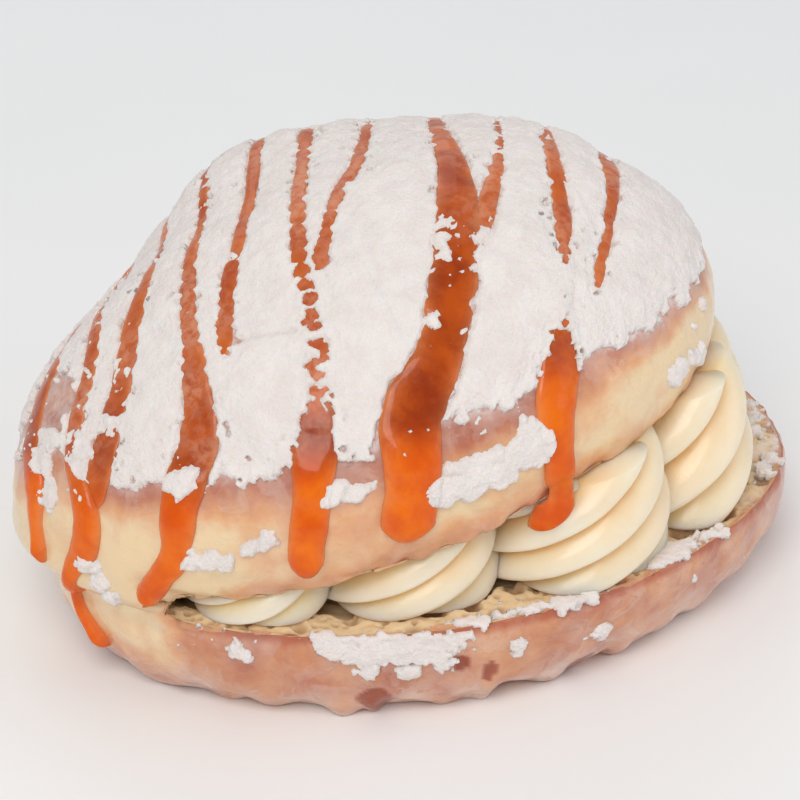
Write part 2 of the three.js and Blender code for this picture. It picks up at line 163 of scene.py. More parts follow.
# 0 at the mouth's first corner, 1 at its second, more than 1 in the hinge.
def mouthShare(angle):
    return np.mod(np.degrees(angle) - mouth["from"], 360) / (mouth["to"] - mouth["from"])


# 1 inside the mouth and 0 in the hinge, with a quarter circle at each corner.
def openShare(angle):
    share = mouthShare(angle)
    span = mouth["to"] - mouth["from"]
    near = np.clip(np.minimum(share, 1 - share) * span / mouth["cornerRound"], 0, 1)
    return np.where(share > 1, 0.0, np.sqrt(1 - (1 - near) ** 2))


# The dome before it is tilted: an ellipsoid down to its widest ring, then a short side that tucks in.
def domeLocal(angle, reach):
    ox, oy = outline(angle)
    turn = np.minimum(reach, 1) * np.pi / 2
    side = np.clip((reach - 1) / bun["sideSpan"], 0, 1)
    spread = bun["topShare"] * np.sin(turn) * (1 - bun["lipTuck"] * side ** 2)
    x, y = ox * spread, oy * spread
    u, v = x / bun["leanLength"], y / bun["leanLength"]
    lift = 1 + bun["leanX"] * u + bun["leanY"] * v - bun["endDrop"] * u ** 2
    rise = (bun["crownHeight"] - bun["widestHeight"]) * np.cos(turn) * lift
    z = np.where(reach <= 1, bun["widestHeight"] + rise, bun["widestHeight"] * (1 - side))
    mapX, mapY = reach * np.cos(angle), reach * np.sin(angle)
    swell = sum(height * np.exp(-((mapX - p) ** 2 + (mapY - q) ** 2) / wide ** 2)
                for p, q, wide, height in swells)
    grow = 1 + swell / np.sqrt(x ** 2 + y ** 2 + z ** 2 + 1)
    return np.stack([x * grow + bun["topShiftX"], y * grow + bun["topShiftY"], z * grow], axis=-1)


# The edges of the cut at each angle. In the hinge both lips meet half-way.
def lips(angle):
    closedUpper = tilt(domeLocal(angle, np.full_like(angle, lipReach)))
    ox, oy = outline(angle)
    rim = 1 - bun["rimTuck"]
    closedLower = np.stack([ox * rim, oy * rim, np.full_like(ox, bun["cutHeight"])], axis=-1)
    openUpper = closedUpper.copy()
    openUpper[..., 2] = bun["cutHeight"] + gapAt(closedUpper[..., 0], closedUpper[..., 1])
    seam = (openUpper + closedLower) / 2
    seam[..., 2] = bun["cutHeight"] + gapAt(seam[..., 0], seam[..., 1]) / 2
    opened = openShare(angle)[..., None]
    upper = seam + (openUpper - seam) * opened
    lower = seam + (closedLower - seam) * opened
    return closedUpper, closedLower, seam, upper, lower


# The tilted dome, its wall bent so that its lip follows the edge of the cut.
def domeSkin(angle, reach):
    local = domeLocal(angle, reach)
    closedUpper, _, _, upper, _ = lips(angle)
    bend = np.clip(1 - local[..., 2] / mouth["bendHeight"], 0, 1) ** 2
    return tilt(local) + bend[..., None] * (upper - closedUpper)


# The lower half's wall, from its rim (0) to the edge of its base (1): the outline drawn in by a power of
# the drop.
def wallSkin(angle, drop):
    ox, oy = outline(angle)
    curve = drop ** bun["baseCurve"]
    spread = 1 - bun["baseTuck"] * curve - bun["rimTuck"] * np.clip(1 - drop * bun["rimRound"], 0, 1) ** 2
    x, z = ox * spread + bun["baseShiftX"] * curve, bun["cutHeight"] * (1 - drop)
    point = np.stack([x, oy * spread, z], axis=-1)
    _, closedLower, _, _, lower = lips(angle)
    bend = np.clip(1 - drop * bun["cutHeight"] / mouth["lowerBend"], 0, 1) ** 2
    return point + bend[..., None] * (lower - closedLower)


# A face of the cut, from its lip (0) to its inner end (1): side is 1 for the ceiling and -1 for the
# floor.
def cutFace(angle, depth, side):
    _, _, seam, upper, lower = lips(angle)
    start = upper if side > 0 else lower
    share = np.clip(mouthShare(angle), 0, 1)
    corners = lips(np.radians([mouth["from"], mouth["to"]]))[2][:, :2]
    bow = mouth["backBulge"] * np.sin(np.pi * share)[..., None] * openWay
    inner = corners[0] + (corners[1] - corners[0]) * share[..., None] - bow
    inner = np.where((mouthShare(angle) > 1)[..., None], seam[..., :2], inner)
    flat = start[..., :2] + (inner - start[..., :2]) * depth[..., None]
    gap = gapAt(flat[..., 0], flat[..., 1])
    half = gap / 2 * np.sqrt(1 - depth ** mouth["endPower"]) * openShare(angle)
    return np.concatenate([flat, (bun["cutHeight"] + gap / 2 + side * half)[..., None]], axis=-1)


# A place on the map as a point of the bare skin. Past the dome's lip the map goes on down the lower
# half's wall.
def skinAt(p, q):
    angle, reach = np.arctan2(q, p), np.hypot(p, q)
    dome = domeSkin(angle, np.minimum(reach, lipReach))
    wall = wallSkin(angle, np.clip((reach - lipReach) / bun["wallReach"], 0, 1))
    return np.where((reach > lipReach)[..., None], wall, dome)


# Outward directions of the skin: the cross product of its slopes along p and q.
def skinNormal(p, q):
    step = 0.004
    alongP = skinAt(p + step, q) - skinAt(p - step, q)
    alongQ = skinAt(p, q + step) - skinAt(p, q - step)
    return unit(np.cross(alongP, alongQ))


# One place on the map as a point of the bare skin.
def skinPoint(p, q):
    return skinAt(np.array([p]), np.array([q]))[0]


# A value of a table at each angle, straight between the table's own angles.
def tableAt(table, key, angle):
    return np.interp(np.degrees(angle) % 360, table["angles"], table[key])


# Triangles of a grid of points, row by row, closed round its columns.
def gridFaces(rows, columns):
    r, c = np.meshgrid(np.arange(rows - 1), np.arange(columns), indexing="ij")
    a, b = r * columns + c, (r + 1) * columns + c
    right = (c + 1) % columns
    d, e = r * columns + right, (r + 1) * columns + right
    return np.stack([a, b, e, a, e, d], axis=-1).reshape(-1, 3)


# Closes rings of points with a fan to one point before the first and one after the last.
def capped(rings, start, end):
    rows, columns = rings.shape[:2]
    points = np.concatenate([rings.reshape(-1, 3), [start, end]])
    c = np.arange(columns)
    right = (c + 1) % columns
    first, last = rows * columns, rows * columns + 1
    top = np.stack([np.full(columns, first), c, right], axis=-1)
    below = (rows - 1) * columns
    bottom = np.stack([np.full(columns, last), below + right, below + c], axis=-1)
    return points, np.concatenate([gridFaces(rows, columns), top, bottom])


# Puts bodies, each with points, faces and values per point, into one list of each.
def joined(bodies):
    points, faces, *values = zip(*bodies)
    starts = np.cumsum([0] + [len(body) for body in points[:-1]])
    faces = np.concatenate([part + start for part, start in zip(faces, starts)])
    return np.concatenate(points), faces, *(np.concatenate(column) for column in values)


# Merges points that coincide and drops the faces that vanish with them. Also gives the numbers of the
# kept points.
def weld(points, faces):
    _, kept, inverse = np.unique(np.round(points, 4), axis=0, return_index=True, return_inverse=True)
    faces = inverse.ravel()[faces]
    a, b, c = faces.T
    return points[kept], faces[(a != b) & (b != c) & (c != a)], kept


# The mean direction of the faces round each point, by area.
def pointNormals(points, faces):
    a, b, c = (points[faces[:, k]] for k in range(3))
    cross = np.cross(b - a, c - a)
    corners = faces.ravel()
    total = np.stack([np.bincount(corners, np.repeat(cross[:, k], 3), len(points)) for k in range(3)],
                     axis=-1)
    return unit(total)


# Makes the mesh object of a piece, in metres, smooth, with its values per point as attributes.
def makePiece(name, points, faces, material, node, attributes=None):
    place = np.array([bun["centreX"], 0, 0])
    mesh = bpy.data.meshes.new(name)
    mesh.vertices.add(len(points))
    mesh.vertices.foreach_set("co", ((points + place) * mm).astype(np.float32).ravel())
    mesh.loops.add(faces.size)
    mesh.loops.foreach_set("vertex_index", faces.astype(np.int32).ravel())
    mesh.polygons.add(len(faces))
    mesh.polygons.foreach_set("loop_start", np.arange(len(faces), dtype=np.int32) * 3)
    mesh.polygons.foreach_set("use_smooth", np.ones(len(faces), dtype=bool))
    for key, values in (attributes or {}).items():
        layer = mesh.attributes.new(key, "FLOAT", "POINT")
        layer.data.foreach_set("value", values.astype(np.float32).ravel())
    mesh.update(calc_edges=True)
    mesh.validate()
    piece = bpy.data.objects.new(name, mesh)
    bpy.context.scene.collection.objects.link(piece)
    mesh.materials.append(material)
    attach(piece, "root")
    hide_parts(node)
    print(name, "made:", len(faces), "triangles")


# Joins another node's output to a socket, or sets the socket to a plain value.
def feed(tree, socket, value):
    if isinstance(value, bpy.types.NodeSocket):
        tree.links.new(value, socket)
    else:
        socket.default_value = value


# Adds a node with its settings and its inputs.
def addNode(tree, kind, inputs=None, **settings):
    node = tree.nodes.new(kind)
    for key, value in settings.items():
        setattr(node, key, value)
    for key, value in (inputs or {}).items():
        feed(tree, node.inputs[key], value)
    return node


# A shader group with named number or vector inputs and one output; fill gets the tree and the inputs.
def shaderGroup(name, inputs, output, fill):
    tree = bpy.data.node_groups.new(name, "ShaderNodeTree")
    for key, kind, value in inputs:
        socket = tree.interface.new_socket(key, in_out="INPUT", socket_type=kind)
        if value is not None:
            socket.default_value = value
    tree.interface.new_socket(output, in_out="OUTPUT", socket_type="NodeSocketFloat")
    source = tree.nodes.new("NodeGroupInput")
    target = tree.nodes.new("NodeGroupOutput")
    tree.links.new(fill(tree, source.outputs), target.inputs[output])
    return tree


number, vector = "NodeSocketFloat", "NodeSocketVector"


# A number made from two others.
def maths(tree, operation, first, second, clamp=False):
    values = {0: first, 1: second}
    return addNode(tree, "ShaderNodeMath", values, operation=operation, use_clamp=clamp).outputs[0]


# One number times another, kept in 0..1 when clamped.
def times(tree, first, second, clamp=False):
    return maths(tree, "MULTIPLY", first, second, clamp)


# The sum of two numbers.
def plus(tree, first, second):
    return maths(tree, "ADD", first, second)


# Blotches: noise spread out between a low and a high value, as a mask in 0..1.
def fillBlotches(tree, given):
    tone = addNode(tree, "ShaderNodeTexNoise", {
        "Vector": given["Vector"], "Scale": given["Scale"], "Detail": 5.0, "Roughness": 0.6,
        "Distortion": given["Distortion"]})
    spread = addNode(tree, "ShaderNodeMapRange", {
        "Value": tone.outputs["Fac"], "From Min": given["Low"], "From Max": given["High"]},
        interpolation_type="SMOOTHSTEP")
    return spread.outputs["Result"]


# Grain: fine noise and cells added, for bump.
def fillGrain(tree, given):
    tone = addNode(tree, "ShaderNodeTexNoise", {
        "Vector": given["Vector"], "Scale": given["Noise Scale"], "Detail": 6.0, "Roughness": 0.65})
    cells = addNode(tree, "ShaderNodeTexVoronoi", {
        "Vector": given["Vector"], "Scale": given["Cell Scale"]})
    return plus(tree, tone.outputs["Fac"], times(tree, cells.outputs["Distance"], given["Cell Share"]))


blotches = shaderGroup("blotches", (
    ("Vector", vector, None), ("Scale", number, 60.0), ("Distortion", number, 0.3), ("Low", number, 0.4),
    ("High", number, 0.6)), "Mask", fillBlotches)
grain = shaderGroup("grain", (
    ("Vector", vector, None), ("Noise Scale", number, 900.0), ("Cell Scale", number, 700.0),
    ("Cell Share", number, 0.5)), "Height", fillGrain)


# Starts a material: its Principled shader and the object coordinates.
def startMaterial(name, **sockets):
    material = bpy.data.materials.new(name)
    material.use_nodes = True
    tree = material.node_tree
    shader = tree.nodes["Principled BSDF"]
    for key, value in sockets.items():
        shader.inputs[key.replace("_", " ")].default_value = value
    place = tree.nodes.new("ShaderNodeTexCoord").outputs["Object"]
    return material, tree, shader, place


# Places a group in a material with its own values.
def useGroup(tree, group, output, **values):
    node = tree.nodes.new("ShaderNodeGroup")
    node.node_tree = group
    for key, value in values.items():
        feed(tree, node.inputs[key.replace("_", " ")], value)
    return node.outputs[output]


# Blotches of one scale in a material, spread between a low and a high tone.
def maskOf(tree, place, scale, low, high, distortion=0.3):
    return useGroup(tree, blotches, "Mask", Vector=place, Scale=scale, Distortion=distortion, Low=low,
                    High=high)


# Grain in a material, from the scale of its noise, the scale of its cells and the share of the cells.
def grainOf(tree, place, noiseScale, cellScale, cellShare):
    return useGroup(tree, grain, "Height", Vector=place, Noise_Scale=noiseScale, Cell_Scale=cellScale,
                    Cell_Share=cellShare)


# Mixes two colours by a factor.
def mixColour(tree, factor, first, second):
    # where a Mix node keeps those of a colour
    factorSocket, firstSocket, secondSocket, result = 0, 6, 7, 2
    values = {factorSocket: factor, firstSocket: first, secondSocket: second}
    return addNode(tree, "ShaderNodeMix", values, data_type="RGBA").outputs[result]


# A number that goes from low to high as the factor goes from 0 to 1.
def between(tree, factor, low, high):
    values = {"Value": factor, "To Min": low, "To Max": high}
    return addNode(tree, "ShaderNodeMapRange", values).outputs[0]


# A value stored on the piece's points.
def stored(tree, name):
    return addNode(tree, "ShaderNodeAttribute", attribute_name=name).outputs["Fac"]


# Joins a height to the shader's normal through a bump, with its depth in millimetres.
def addBump(tree, shader, height, depth):
    bump = addNode(tree, "ShaderNodeBump", {"Height": height, "Strength": 1.0, "Distance": depth * mm})
    feed(tree, shader.inputs["Normal"], bump.outputs["Normal"])


# Turns a display colour of 0..255 into the shader's linear one, by the usual curve of screens.
def tint(red, green, blue):
    c = np.array([red, green, blue]) / 255
    linear = np.where(c <= 0.04045, c / 12.92, ((c + 0.055) / 1.055) ** 2.4)
    return (*[float(x) for x in linear], 1.0)


skinLook = {  # colours, and how far each effect goes
    "pale": tint(243, 213, 166), "tan": tint(231, 164, 108), "brown": tint(186, 96, 58),
    "dark": tint(150, 62, 22), "glaze": tint(234, 214, 204), "crumb": tint(236, 208, 166),
    # the darker crumb colour on the next line is painted shade for the crumb's pores
    "shadedPore": tint(160, 106, 62), "dust": tint(236, 226, 222), "stops": (0.08, 0.32, 0.66, 0.95),
    "uneven": 0.22, "veil": 0.5, "flakes": 0.3, "leastGlaze": 0.15, "leastDust": 0.35, "flakeEdge": 0.5,
    "smoothest": 0.34, "roughest": 0.9, "coat": 0.65, "bump": 0.3,
    # blotches: scale, low and high tone, distortion
    "toneBlotches": (130.0, 0.3, 0.7), "veilBlotches": (210.0, 0.25, 0.8, 0.5),
    "flakeBlotches": (150.0, 0.47, 0.53, 0.8), "dustBlotches": (900.0, 0.35, 0.65),
    "grain": (480.0, 340.0, 0.5),
}


# The skin, from pale to dark by how baked it is, under patchy glaze and dust, and the crumb with
# painted shade in its pores.
def doughMaterial():
    look = skinLook
    material, tree, shader, place = startMaterial(
        "doughSkin", Subsurface_Weight=0.12, Subsurface_Scale=0.004, Subsurface_Radius=(1.0, 0.5, 0.25),
        IOR=1.42, Coat_Roughness=0.12)
    tone = maskOf(tree, place, *look["toneBlotches"])
    uneven = times(tree, maths(tree, "SUBTRACT", tone, 0.5), look["uneven"])
    baked = plus(tree, stored(tree, "baked"), uneven)
    ramp = addNode(tree, "ShaderNodeValToRGB", {"Fac": baked})
    stops = ramp.color_ramp.elements
    first, second, third, last = look["stops"]
    stops[0].position, stops[0].color = first, look["pale"]
    stops[1].position, stops[1].color = last, look["dark"]
    for position, name in ((second, "tan"), (third, "brown")):
        stops.new(position).color = look[name]
    veil = maskOf(tree, place, *look["veilBlotches"])
    flake = maskOf(tree, place, *look["flakeBlotches"])
    thick = plus(tree, times(tree, veil, look["veil"]), times(tree, flake, look["flakes"]))
    glaze = times(tree, stored(tree, "glaze"), plus(tree, thick, look["leastGlaze"]), True)
    coated = mixColour(tree, glaze, ramp.outputs["Color"], look["glaze"])
    fine = maskOf(tree, place, *look["dustBlotches"])
    dusty = times(tree, stored(tree, "dust"), plus(tree, fine, look["leastDust"]), True)
    # painted shade: the crumb darkens into its pores
    crumb = mixColour(tree, stored(tree, "shadedPore"), look["crumb"], look["shadedPore"])
    isCrumb = stored(tree, "crumb")
    bread = mixColour(tree, isCrumb, coated, crumb)
    feed(tree, shader.inputs["Base Color"], mixColour(tree, dusty, bread, look["dust"]))
    bare = maths(tree, "MAXIMUM", isCrumb, dusty)
    feed(tree, shader.inputs["Roughness"], between(tree, bare, look["smoothest"], look["roughest"]))
    feed(tree, shader.inputs["Coat Weight"], between(tree, bare, look["coat"], 0.0))
    relief = grainOf(tree, place, *look["grain"])
    edges = times(tree, times(tree, flake, look["flakeEdge"]), stored(tree, "glaze"))
    addBump(tree, shader, plus(tree, relief, edges), look["bump"])
    return material


creamLook = {
    # the crease colour below is painted shade, laid into the folds between the ridges
    "body": tint(246, 222, 194), "light": tint(249, 231, 207), "creaseShade": tint(244, 204, 128),
    "creaseShading": 0.75, "bump": 0.16, "blotches": (70.0, 0.35, 0.65), "grain": (260.0, 300.0, 0.1),
}


# Piped cream, with painted shade: yellower in its creases, fainter over the core behind the rosettes.
def creamMaterial():
    look = creamLook
    material, tree, shader, place = startMaterial(
        "pipedCream", Roughness=0.36, Subsurface_Weight=0.8, Subsurface_Scale=0.006,
        Subsurface_Radius=(1.0, 0.8, 0.5), IOR=1.42, Coat_Weight=0.3, Coat_Roughness=0.12)
    tone = maskOf(tree, place, *look["blotches"])
    body = mixColour(tree, tone, look["body"], look["light"])
    # painted shade: the creases, and the core behind the rosettes, are mixed towards the crease colour
    creaseShade = times(tree, stored(tree, "creaseShade"), look["creaseShading"], True)
    feed(tree, shader.inputs["Base Color"], mixColour(tree, creaseShade, body, look["creaseShade"]))
    addBump(tree, shader, grainOf(tree, place, *look["grain"]), look["bump"])
    return material


caramelLook = {  # each colour goes from its first tint to its second
    "film": (tint(176, 68, 16), tint(208, 102, 38)), "pool": (tint(144, 44, 0), tint(192, 80, 4)),
    "fresh": (tint(222, 84, 0), tint(242, 116, 6)), "edge": tint(236, 158, 104),
    "dust": tint(222, 160, 130), "edgeTone": 0.5, "leastEdge": 0.3, "leastDust": 0.2, "smoothest": 0.2,
    "roughest": 0.6, "coat": 0.32, "leastCoat": 0.05, "bump": 0.25, "toneBlotches": (150.0, 0.3, 0.7),
    "dustBlotches": (700.0, 0.35, 0.65), "grain": (200.0, 500.0, 0.1),
}


# Caramel: a thin film, dark pools and fresh drips, lighter where it thins out, under a little dust.
def caramelMaterial():
    look = caramelLook
    material, tree, shader, place = startMaterial(
        "caramelSauce", Subsurface_Weight=0.15, Subsurface_Scale=0.003,
        Subsurface_Radius=(1.0, 0.3, 0.05), IOR=1.46, Specular_IOR_Level=0.12, Coat_Roughness=0.05)
    tone = maskOf(tree, place, *look["toneBlotches"])
    film, pool, fresh = (mixColour(tree, tone, *look[key]) for key in ("film", "pool", "fresh"))
    old = mixColour(tree, stored(tree, "pool"), film, pool)
    deep = mixColour(tree, stored(tree, "run"), old, fresh)
    thin = stored(tree, "thin")
    edge = times(tree, thin, plus(tree, times(tree, tone, look["edgeTone"]), look["leastEdge"]))
    sauce = mixColour(tree, edge, deep, look["edge"])
    fine = maskOf(tree, place, *look["dustBlotches"])
    dusty = times(tree, stored(tree, "dust"), plus(tree, fine, look["leastDust"]), True)
    feed(tree, shader.inputs["Base Color"], mixColour(tree, dusty, sauce, look["dust"]))
    feed(tree, shader.inputs["Roughness"], between(tree, dusty, look["smoothest"], look["roughest"]))
    feed(tree, shader.inputs["Coat Weight"], between(tree, dusty, look["coat"], look["leastCoat"]))
    addBump(tree, shader, grainOf(tree, place, *look["grain"]), look["bump"])
    return material


sugarLook = {
    "shaded": tint(236, 226, 221), "light": tint(243, 235, 231), "bump": 0.18,
    "blotches": (240.0, 0.3, 0.7), "grain": (1500.0, 2300.0, 0.7),
}


# Powdered sugar: matt and slightly uneven, with fine grains.
def sugarMaterial():
    look = sugarLook
    material, tree, shader, place = startMaterial(
        "powderedSugar", Roughness=0.95, Subsurface_Weight=0.15, Subsurface_Scale=0.0015)
    tone = maskOf(tree, place, *look["blotches"])
    feed(tree, shader.inputs["Base Color"], mixColour(tree, tone, look["shaded"], look["light"]))
    addBump(tree, shader, grainOf(tree, place, *look["grain"]), look["bump"])
    return material


materials = {"dough": doughMaterial(), "cream": creamMaterial(), "caramel": caramelMaterial(),
             "sugar": sugarMaterial()}
print("materials made")


crust = {
    "columns": 450, "mouthColumns": 0.76, "crowding": 0.35, "domeRows": 98, "sideRows": 16, "ledgeRows": 10,
    "ledgeDepth": 14.0, "innerRows": 6, "wallRows": 50, "baseRings": (0.97, 0.85, 0.5),
    "lump": 0.45, "lumpSize": 13.0, "wrinkle": 0.36, "wrinkleSize": 4.5, "pit": 0.1, "pitSize": 1.8,
    "sunk": 2.0, "hemHeight": 8.0, "hem": 0.65, "evenHem": 0.6, "hemSize": 4.0, "filled": 1.7,
    "fillReach": 3.0, "ragged": 1.0, "raggedSize": 3.4, "raggedReach": 1.2,
    # runs of glaze down the lower wall: angle, how far out, half-width in degrees
    "runs": ((205, 0.6, 3.4), (229, 0.5, 3.0), (241, 1.8, 2.6), (246, 0.9, 1.2), (258, 0.7, 3.2),
             (264, 1.5, 1.8), (275, 0.6, 2.8), (289, 0.9, 1.4), (307, 0.8, 3.6), (318, 0.5, 1.4)),
    # where the glaze is missing from the wall: angle, drop, width in degrees, height as a share of it
    "bareSpots": ((247.5, 0.72, 3.4, 0.22), (281.5, 0.8, 2.4, 0.16), (259.5, 0.35, 1.2, 0.1),
                  (264, 0.5, 1.0, 0.12)),
}


# The skin's own relief: broad lumps, wrinkles and small pits, added.
def skinRelief(points):
    return (crust["lump"] * noise(points, crust["lumpSize"], 11)
            + crust["wrinkle"] * roughNoise(points, crust["wrinkleSize"], 2, 12)
            + crust["pit"] * noise(points, crust["pitSize"], 14))


# What fills the crease where the two halves join in the hinge, most right at the seam.
def hingeFill(points):
    fromSeam = points[..., 2] - bun["cutHeight"] - gapAt(points[..., 0], points[..., 1]) / 2
    nearSeam = np.exp(-(fromSeam / crust["fillReach"]) ** 2)
    return crust["filled"] * (1 - openShare(angleOf(points))) * nearSeam


# The glaze at the foot of the wall: an uneven hem, thicker where it ran down, fading out with height.
def glazeHem(points, angle):
    degrees = np.degrees(angle) % 360
    low = smooth(points[:, 2], crust["hemHeight"], 0.6)
    swell = crust["hem"] * (crust["evenHem"] + noise(points, crust["hemSize"], 15))
    for at, out, width in crust["runs"]:
        swell += out * np.exp(-(degreesFrom(at, degrees) / width) ** 2)
    return swell * low


# Angles round the doughnut, closer together at the corners of the mouth.
def doughAngles():
    span = mouth["to"] - mouth["from"]
    inMouth = int(crust["columns"] * crust["mouthColumns"])
    shares = np.arange(inMouth) / inMouth
    eased = shares - crust["crowding"] * np.sin(2 * np.pi * shares) / (2 * np.pi)
    inHinge = crust["columns"] - inMouth
    return np.radians(np.concatenate([mouth["from"] + span * eased,
                                      mouth["to"] + (360 - span) * np.arange(inHinge) / inHinge]))


# The whole ball as rings from the crown to the base: dome, side, ceiling, floor, wall and base. Each
# ring comes with the name of its zone and its place there.
def doughRings():
    angles = doughAngles()
    ledge = crust["ledgeDepth"] / bun["halfLength"]
    near = np.linspace(0, 1, crust["ledgeRows"] + 1)[1:] ** 1.6 * ledge
    inner = ledge + (1 - ledge) * np.sin(np.linspace(0, np.pi / 2, crust["innerRows"] + 1)[1:])
    depths = np.concatenate([near, inner])
    dome = np.linspace(0, 1, crust["domeRows"] + 1)[1:]
    side = 1 + bun["sideSpan"] * np.sin(np.linspace(0, np.pi / 2, crust["sideRows"] + 1)[1:])
    drops = np.sin(np.linspace(0, np.pi / 2, crust["wallRows"] + 1)) ** 1.2
    zones = [("dome", v) for v in np.concatenate([dome, side])] + [("ceiling", v) for v in depths]
    zones += [("floor", v) for v in depths[:-1][::-1]] + [("wall", v) for v in drops]
    zones += [("base", v) for v in crust["baseRings"]]
    rows, middle = [], np.array([bun["baseShiftX"], 0, 0])
    for zone, value in zones:
        at = np.full_like(angles, value)
        if zone == "dome":
            rows.append(domeSkin(angles, at))
        elif zone == "wall":
            rows.append(wallSkin(angles, at))
        elif zone == "base":
            rows.append(middle + (wallSkin(angles, np.ones_like(angles)) - middle) * value)
        else:
            rows.append(cutFace(angles, at, 1 if zone == "ceiling" else -1))
    return angles, np.array(rows), zones


tones = {
    # noises: their sizes, in millimetres
    "fine": 5.0, "broad": 16.0, "streak": 4.5, "patch": 6.0,
    # the dome: how baked and glazed its band is, how much more towards the sugar and at the lip
    "baked": 0.6, "bandShift": 0.6, "lip": 0.24, "glaze": 0.2, "moreGlaze": 0.3, "glazeShift": 0.15,
    # dust on the dome, with less of it between those two places at the left end
    "dust": 0.62, "dustShift": 0.35, "lessDust": 0.5, "dustEnds": (-0.42, -0.6),
    # the wall: how baked and glazed it is, and its rim and its bare spots
    "wallBaked": 0.52, "wallShift": 0.12, "rim": 0.2, "wallGlaze": 0.4, "wallPatch": 0.35,
    "footGlaze": 0.35, "footStreak": 0.4, "rimGlaze": 0.1, "spot": 0.92,
    # in the hinge the wall takes up the dome's pale band, and darkens on its way down
    "joined": 1.2, "joinedGlaze": 0.25, "joinedAt": (0.015, -0.01), "cut": 0.5,
}


# How brown, glazed and dusted the skin is at each ring and angle. On the dome it goes from brown at the
# sugar's limit to pale at the pale band's start; the wall is brown at its rim and in the bare spots.
def skinTones(angles, rings, zones):
    shape = rings.shape[:2]
    baked, glaze, dust = np.zeros(shape), np.zeros(shape), np.zeros(shape)
    limit = tableAt(sugarEdge, "limits", angles)
    pale, bandTone = tableAt(paleEdge, "starts", angles), tableAt(paleEdge, "tones", angles)
    degrees = np.degrees(angles) % 360
    share = (mouthShare(angles) + 0.2) % (360 / (mouth["to"] - mouth["from"])) - 0.2
    inHinge = smooth(np.minimum(share, 1 - share), *tones["joinedAt"])
    for k, (zone, value) in enumerate(zones):
        uneven, broad = roughNoise(rings[k], tones["fine"], 3, 31), noise(rings[k], tones["broad"], 35)
        if zone == "dome":
            reach = value + 0.03 * uneven + 0.02 * broad
            lip = tones["lip"] * smooth(value + 0.04 * uneven, 1.03, 1.12)
            band = bandTone * (1 + tones["bandShift"] * broad)
            baked[k] = band + tones["baked"] * smooth(reach, pale, limit) + lip
            nearSugar = smooth(reach, pale - 0.02, limit)
            glaze[k] = (tones["glaze"] + tones["moreGlaze"] * nearSugar + tones["glazeShift"] * broad
                        + 0.5 * lip)
            dusted = tones["dust"] + tones["dustShift"] * broad
            dust[k] = smooth(reach, limit + 0.035, limit - 0.02) * dusted
            dust[k] *= 1 - tones["lessDust"] * smooth(value * np.cos(angles), *tones["dustEnds"])
        elif zone == "wall":
            streak = noise(rings[k] * (1, 1, 0.3), tones["streak"], 34)
            rim = smooth(value + 0.04 * uneven, 0.12, 0.02)
            baked[k] = tones["wallBaked"] + tones["wallShift"] * uneven + tones["rim"] * rim
            patchy = roughNoise(rings[k], tones["patch"], 2, 33)
            glaze[k] = (tones["wallGlaze"] + tones["wallPatch"] * patchy
                        + (tones["footGlaze"] + tones["footStreak"] * streak) * smooth(value, 0.4, 0.9))
            united = inHinge * smooth(value + 0.08 * uneven, 0.75, 0.3)
            baked[k] += united * (bandTone * tones["joined"] - baked[k])
            glaze[k] += (united * (tones["joinedGlaze"] - glaze[k])
                         + (1 - united) * rim * (tones["rimGlaze"] - glaze[k]))
            for at, drop, width, height in crust["bareSpots"]:
                away = (degreesFrom(at, degrees) / width) ** 2 + ((value - drop) / height) ** 2
                spot = smooth(np.sqrt(away) + 0.5 * uneven, 1.0, 0.8)
                baked[k] += spot * (tones["spot"] - baked[k])
                glaze[k] *= 1 - spot
        else:
            baked[k] = tones["cut"]
    return [np.clip(v, 0, 1) for v in (baked, glaze, dust)]


# The ball of dough: each point goes out along its normal by the relief of its zone, with torn lips at
# the cut and nothing under the base.
def makeDough():
    angles, rings, zones = doughRings()
    points, faces = capped(rings, skinPoint(1e-4, 0.0), np.array([bun["baseShiftX"], 0, 0]))
    names = np.array([zone for zone, _ in zones])
    zone = np.concatenate([np.repeat(names, len(angles)), ["dome", "base"]])
    values = [np.concatenate([tone.ravel(), [tone[0, 0], 0.5]])
              for tone in skinTones(angles, rings, zones)]
    points, faces, kept = weld(points, faces)
    zone, (baked, glaze, dust) = zone[kept], [tone[kept] for tone in values]
    normals = pointNormals(points, faces)
    angle = angleOf(points)
    isCut = (zone == "ceiling") | (zone == "floor")
    # the pores' depth also sets the painted shade in them
    shadedPore, crumbHeight = crumbRelief(points)
    relief = np.where(isCut, crumbHeight, skinRelief(points))
    relief = np.where(zone == "wall", relief + glazeHem(points, angle), relief)
    relief += hingeFill(points)
    half = gapAt(points[:, 0], points[:, 1]) / 2
    fromLip = np.abs(points[:, 2] - bun["cutHeight"] - half) - half
    torn = crust["ragged"] * roughNoise(points, crust["raggedSize"], 3, 17) * openShare(angle)
    torn *= np.exp(-(fromLip / crust["raggedReach"]) ** 2)
    relief += np.where((zone == "dome") | (zone == "wall"), torn, 0)
    rim = np.hypot(*outline(angle)) - np.hypot(points[:, 0], points[:, 1])
    sunk = -crust["sunk"] * smooth(rim, 1.2, 2.2)  # room for the crumb of the ledge
    relief = np.where(zone == "floor", sunk, relief)
    relief *= np.where(zone == "base", 0, smooth(points[:, 2], -0.5, 1.0))
    points = points + normals * relief[:, None]
    points[:, 2] = np.maximum(points[:, 2], 0)
    makePiece("doughBall", points, faces, materials["dough"], "dough",
              {"baked": baked, "glaze": glaze, "dust": dust, "crumb": isCut * 1.0, "shadedPore": shadedPore * isCut})


crumb = {
    "poreSize": 4.2, "poreDepth": 2.1, "smallPore": 1.5, "smallDepth": 0.7, "smallShade": 0.6,
    "rough": 0.8, "roughSize": 3.0, "step": 0.34, "depth": 13.5, "thick": 2.4, "lift": 0.25, "margin": 1.5,
    "swell": 0.5, "swellSize": 9.0, "sink": 0.25, "baked": 0.58, "browned": 0.75, "edgeSize": 2.4,
    "dusted": (-50, -15), "dust": 0.35, "dustShift": 1.1, "dustSize": 3.2,
}
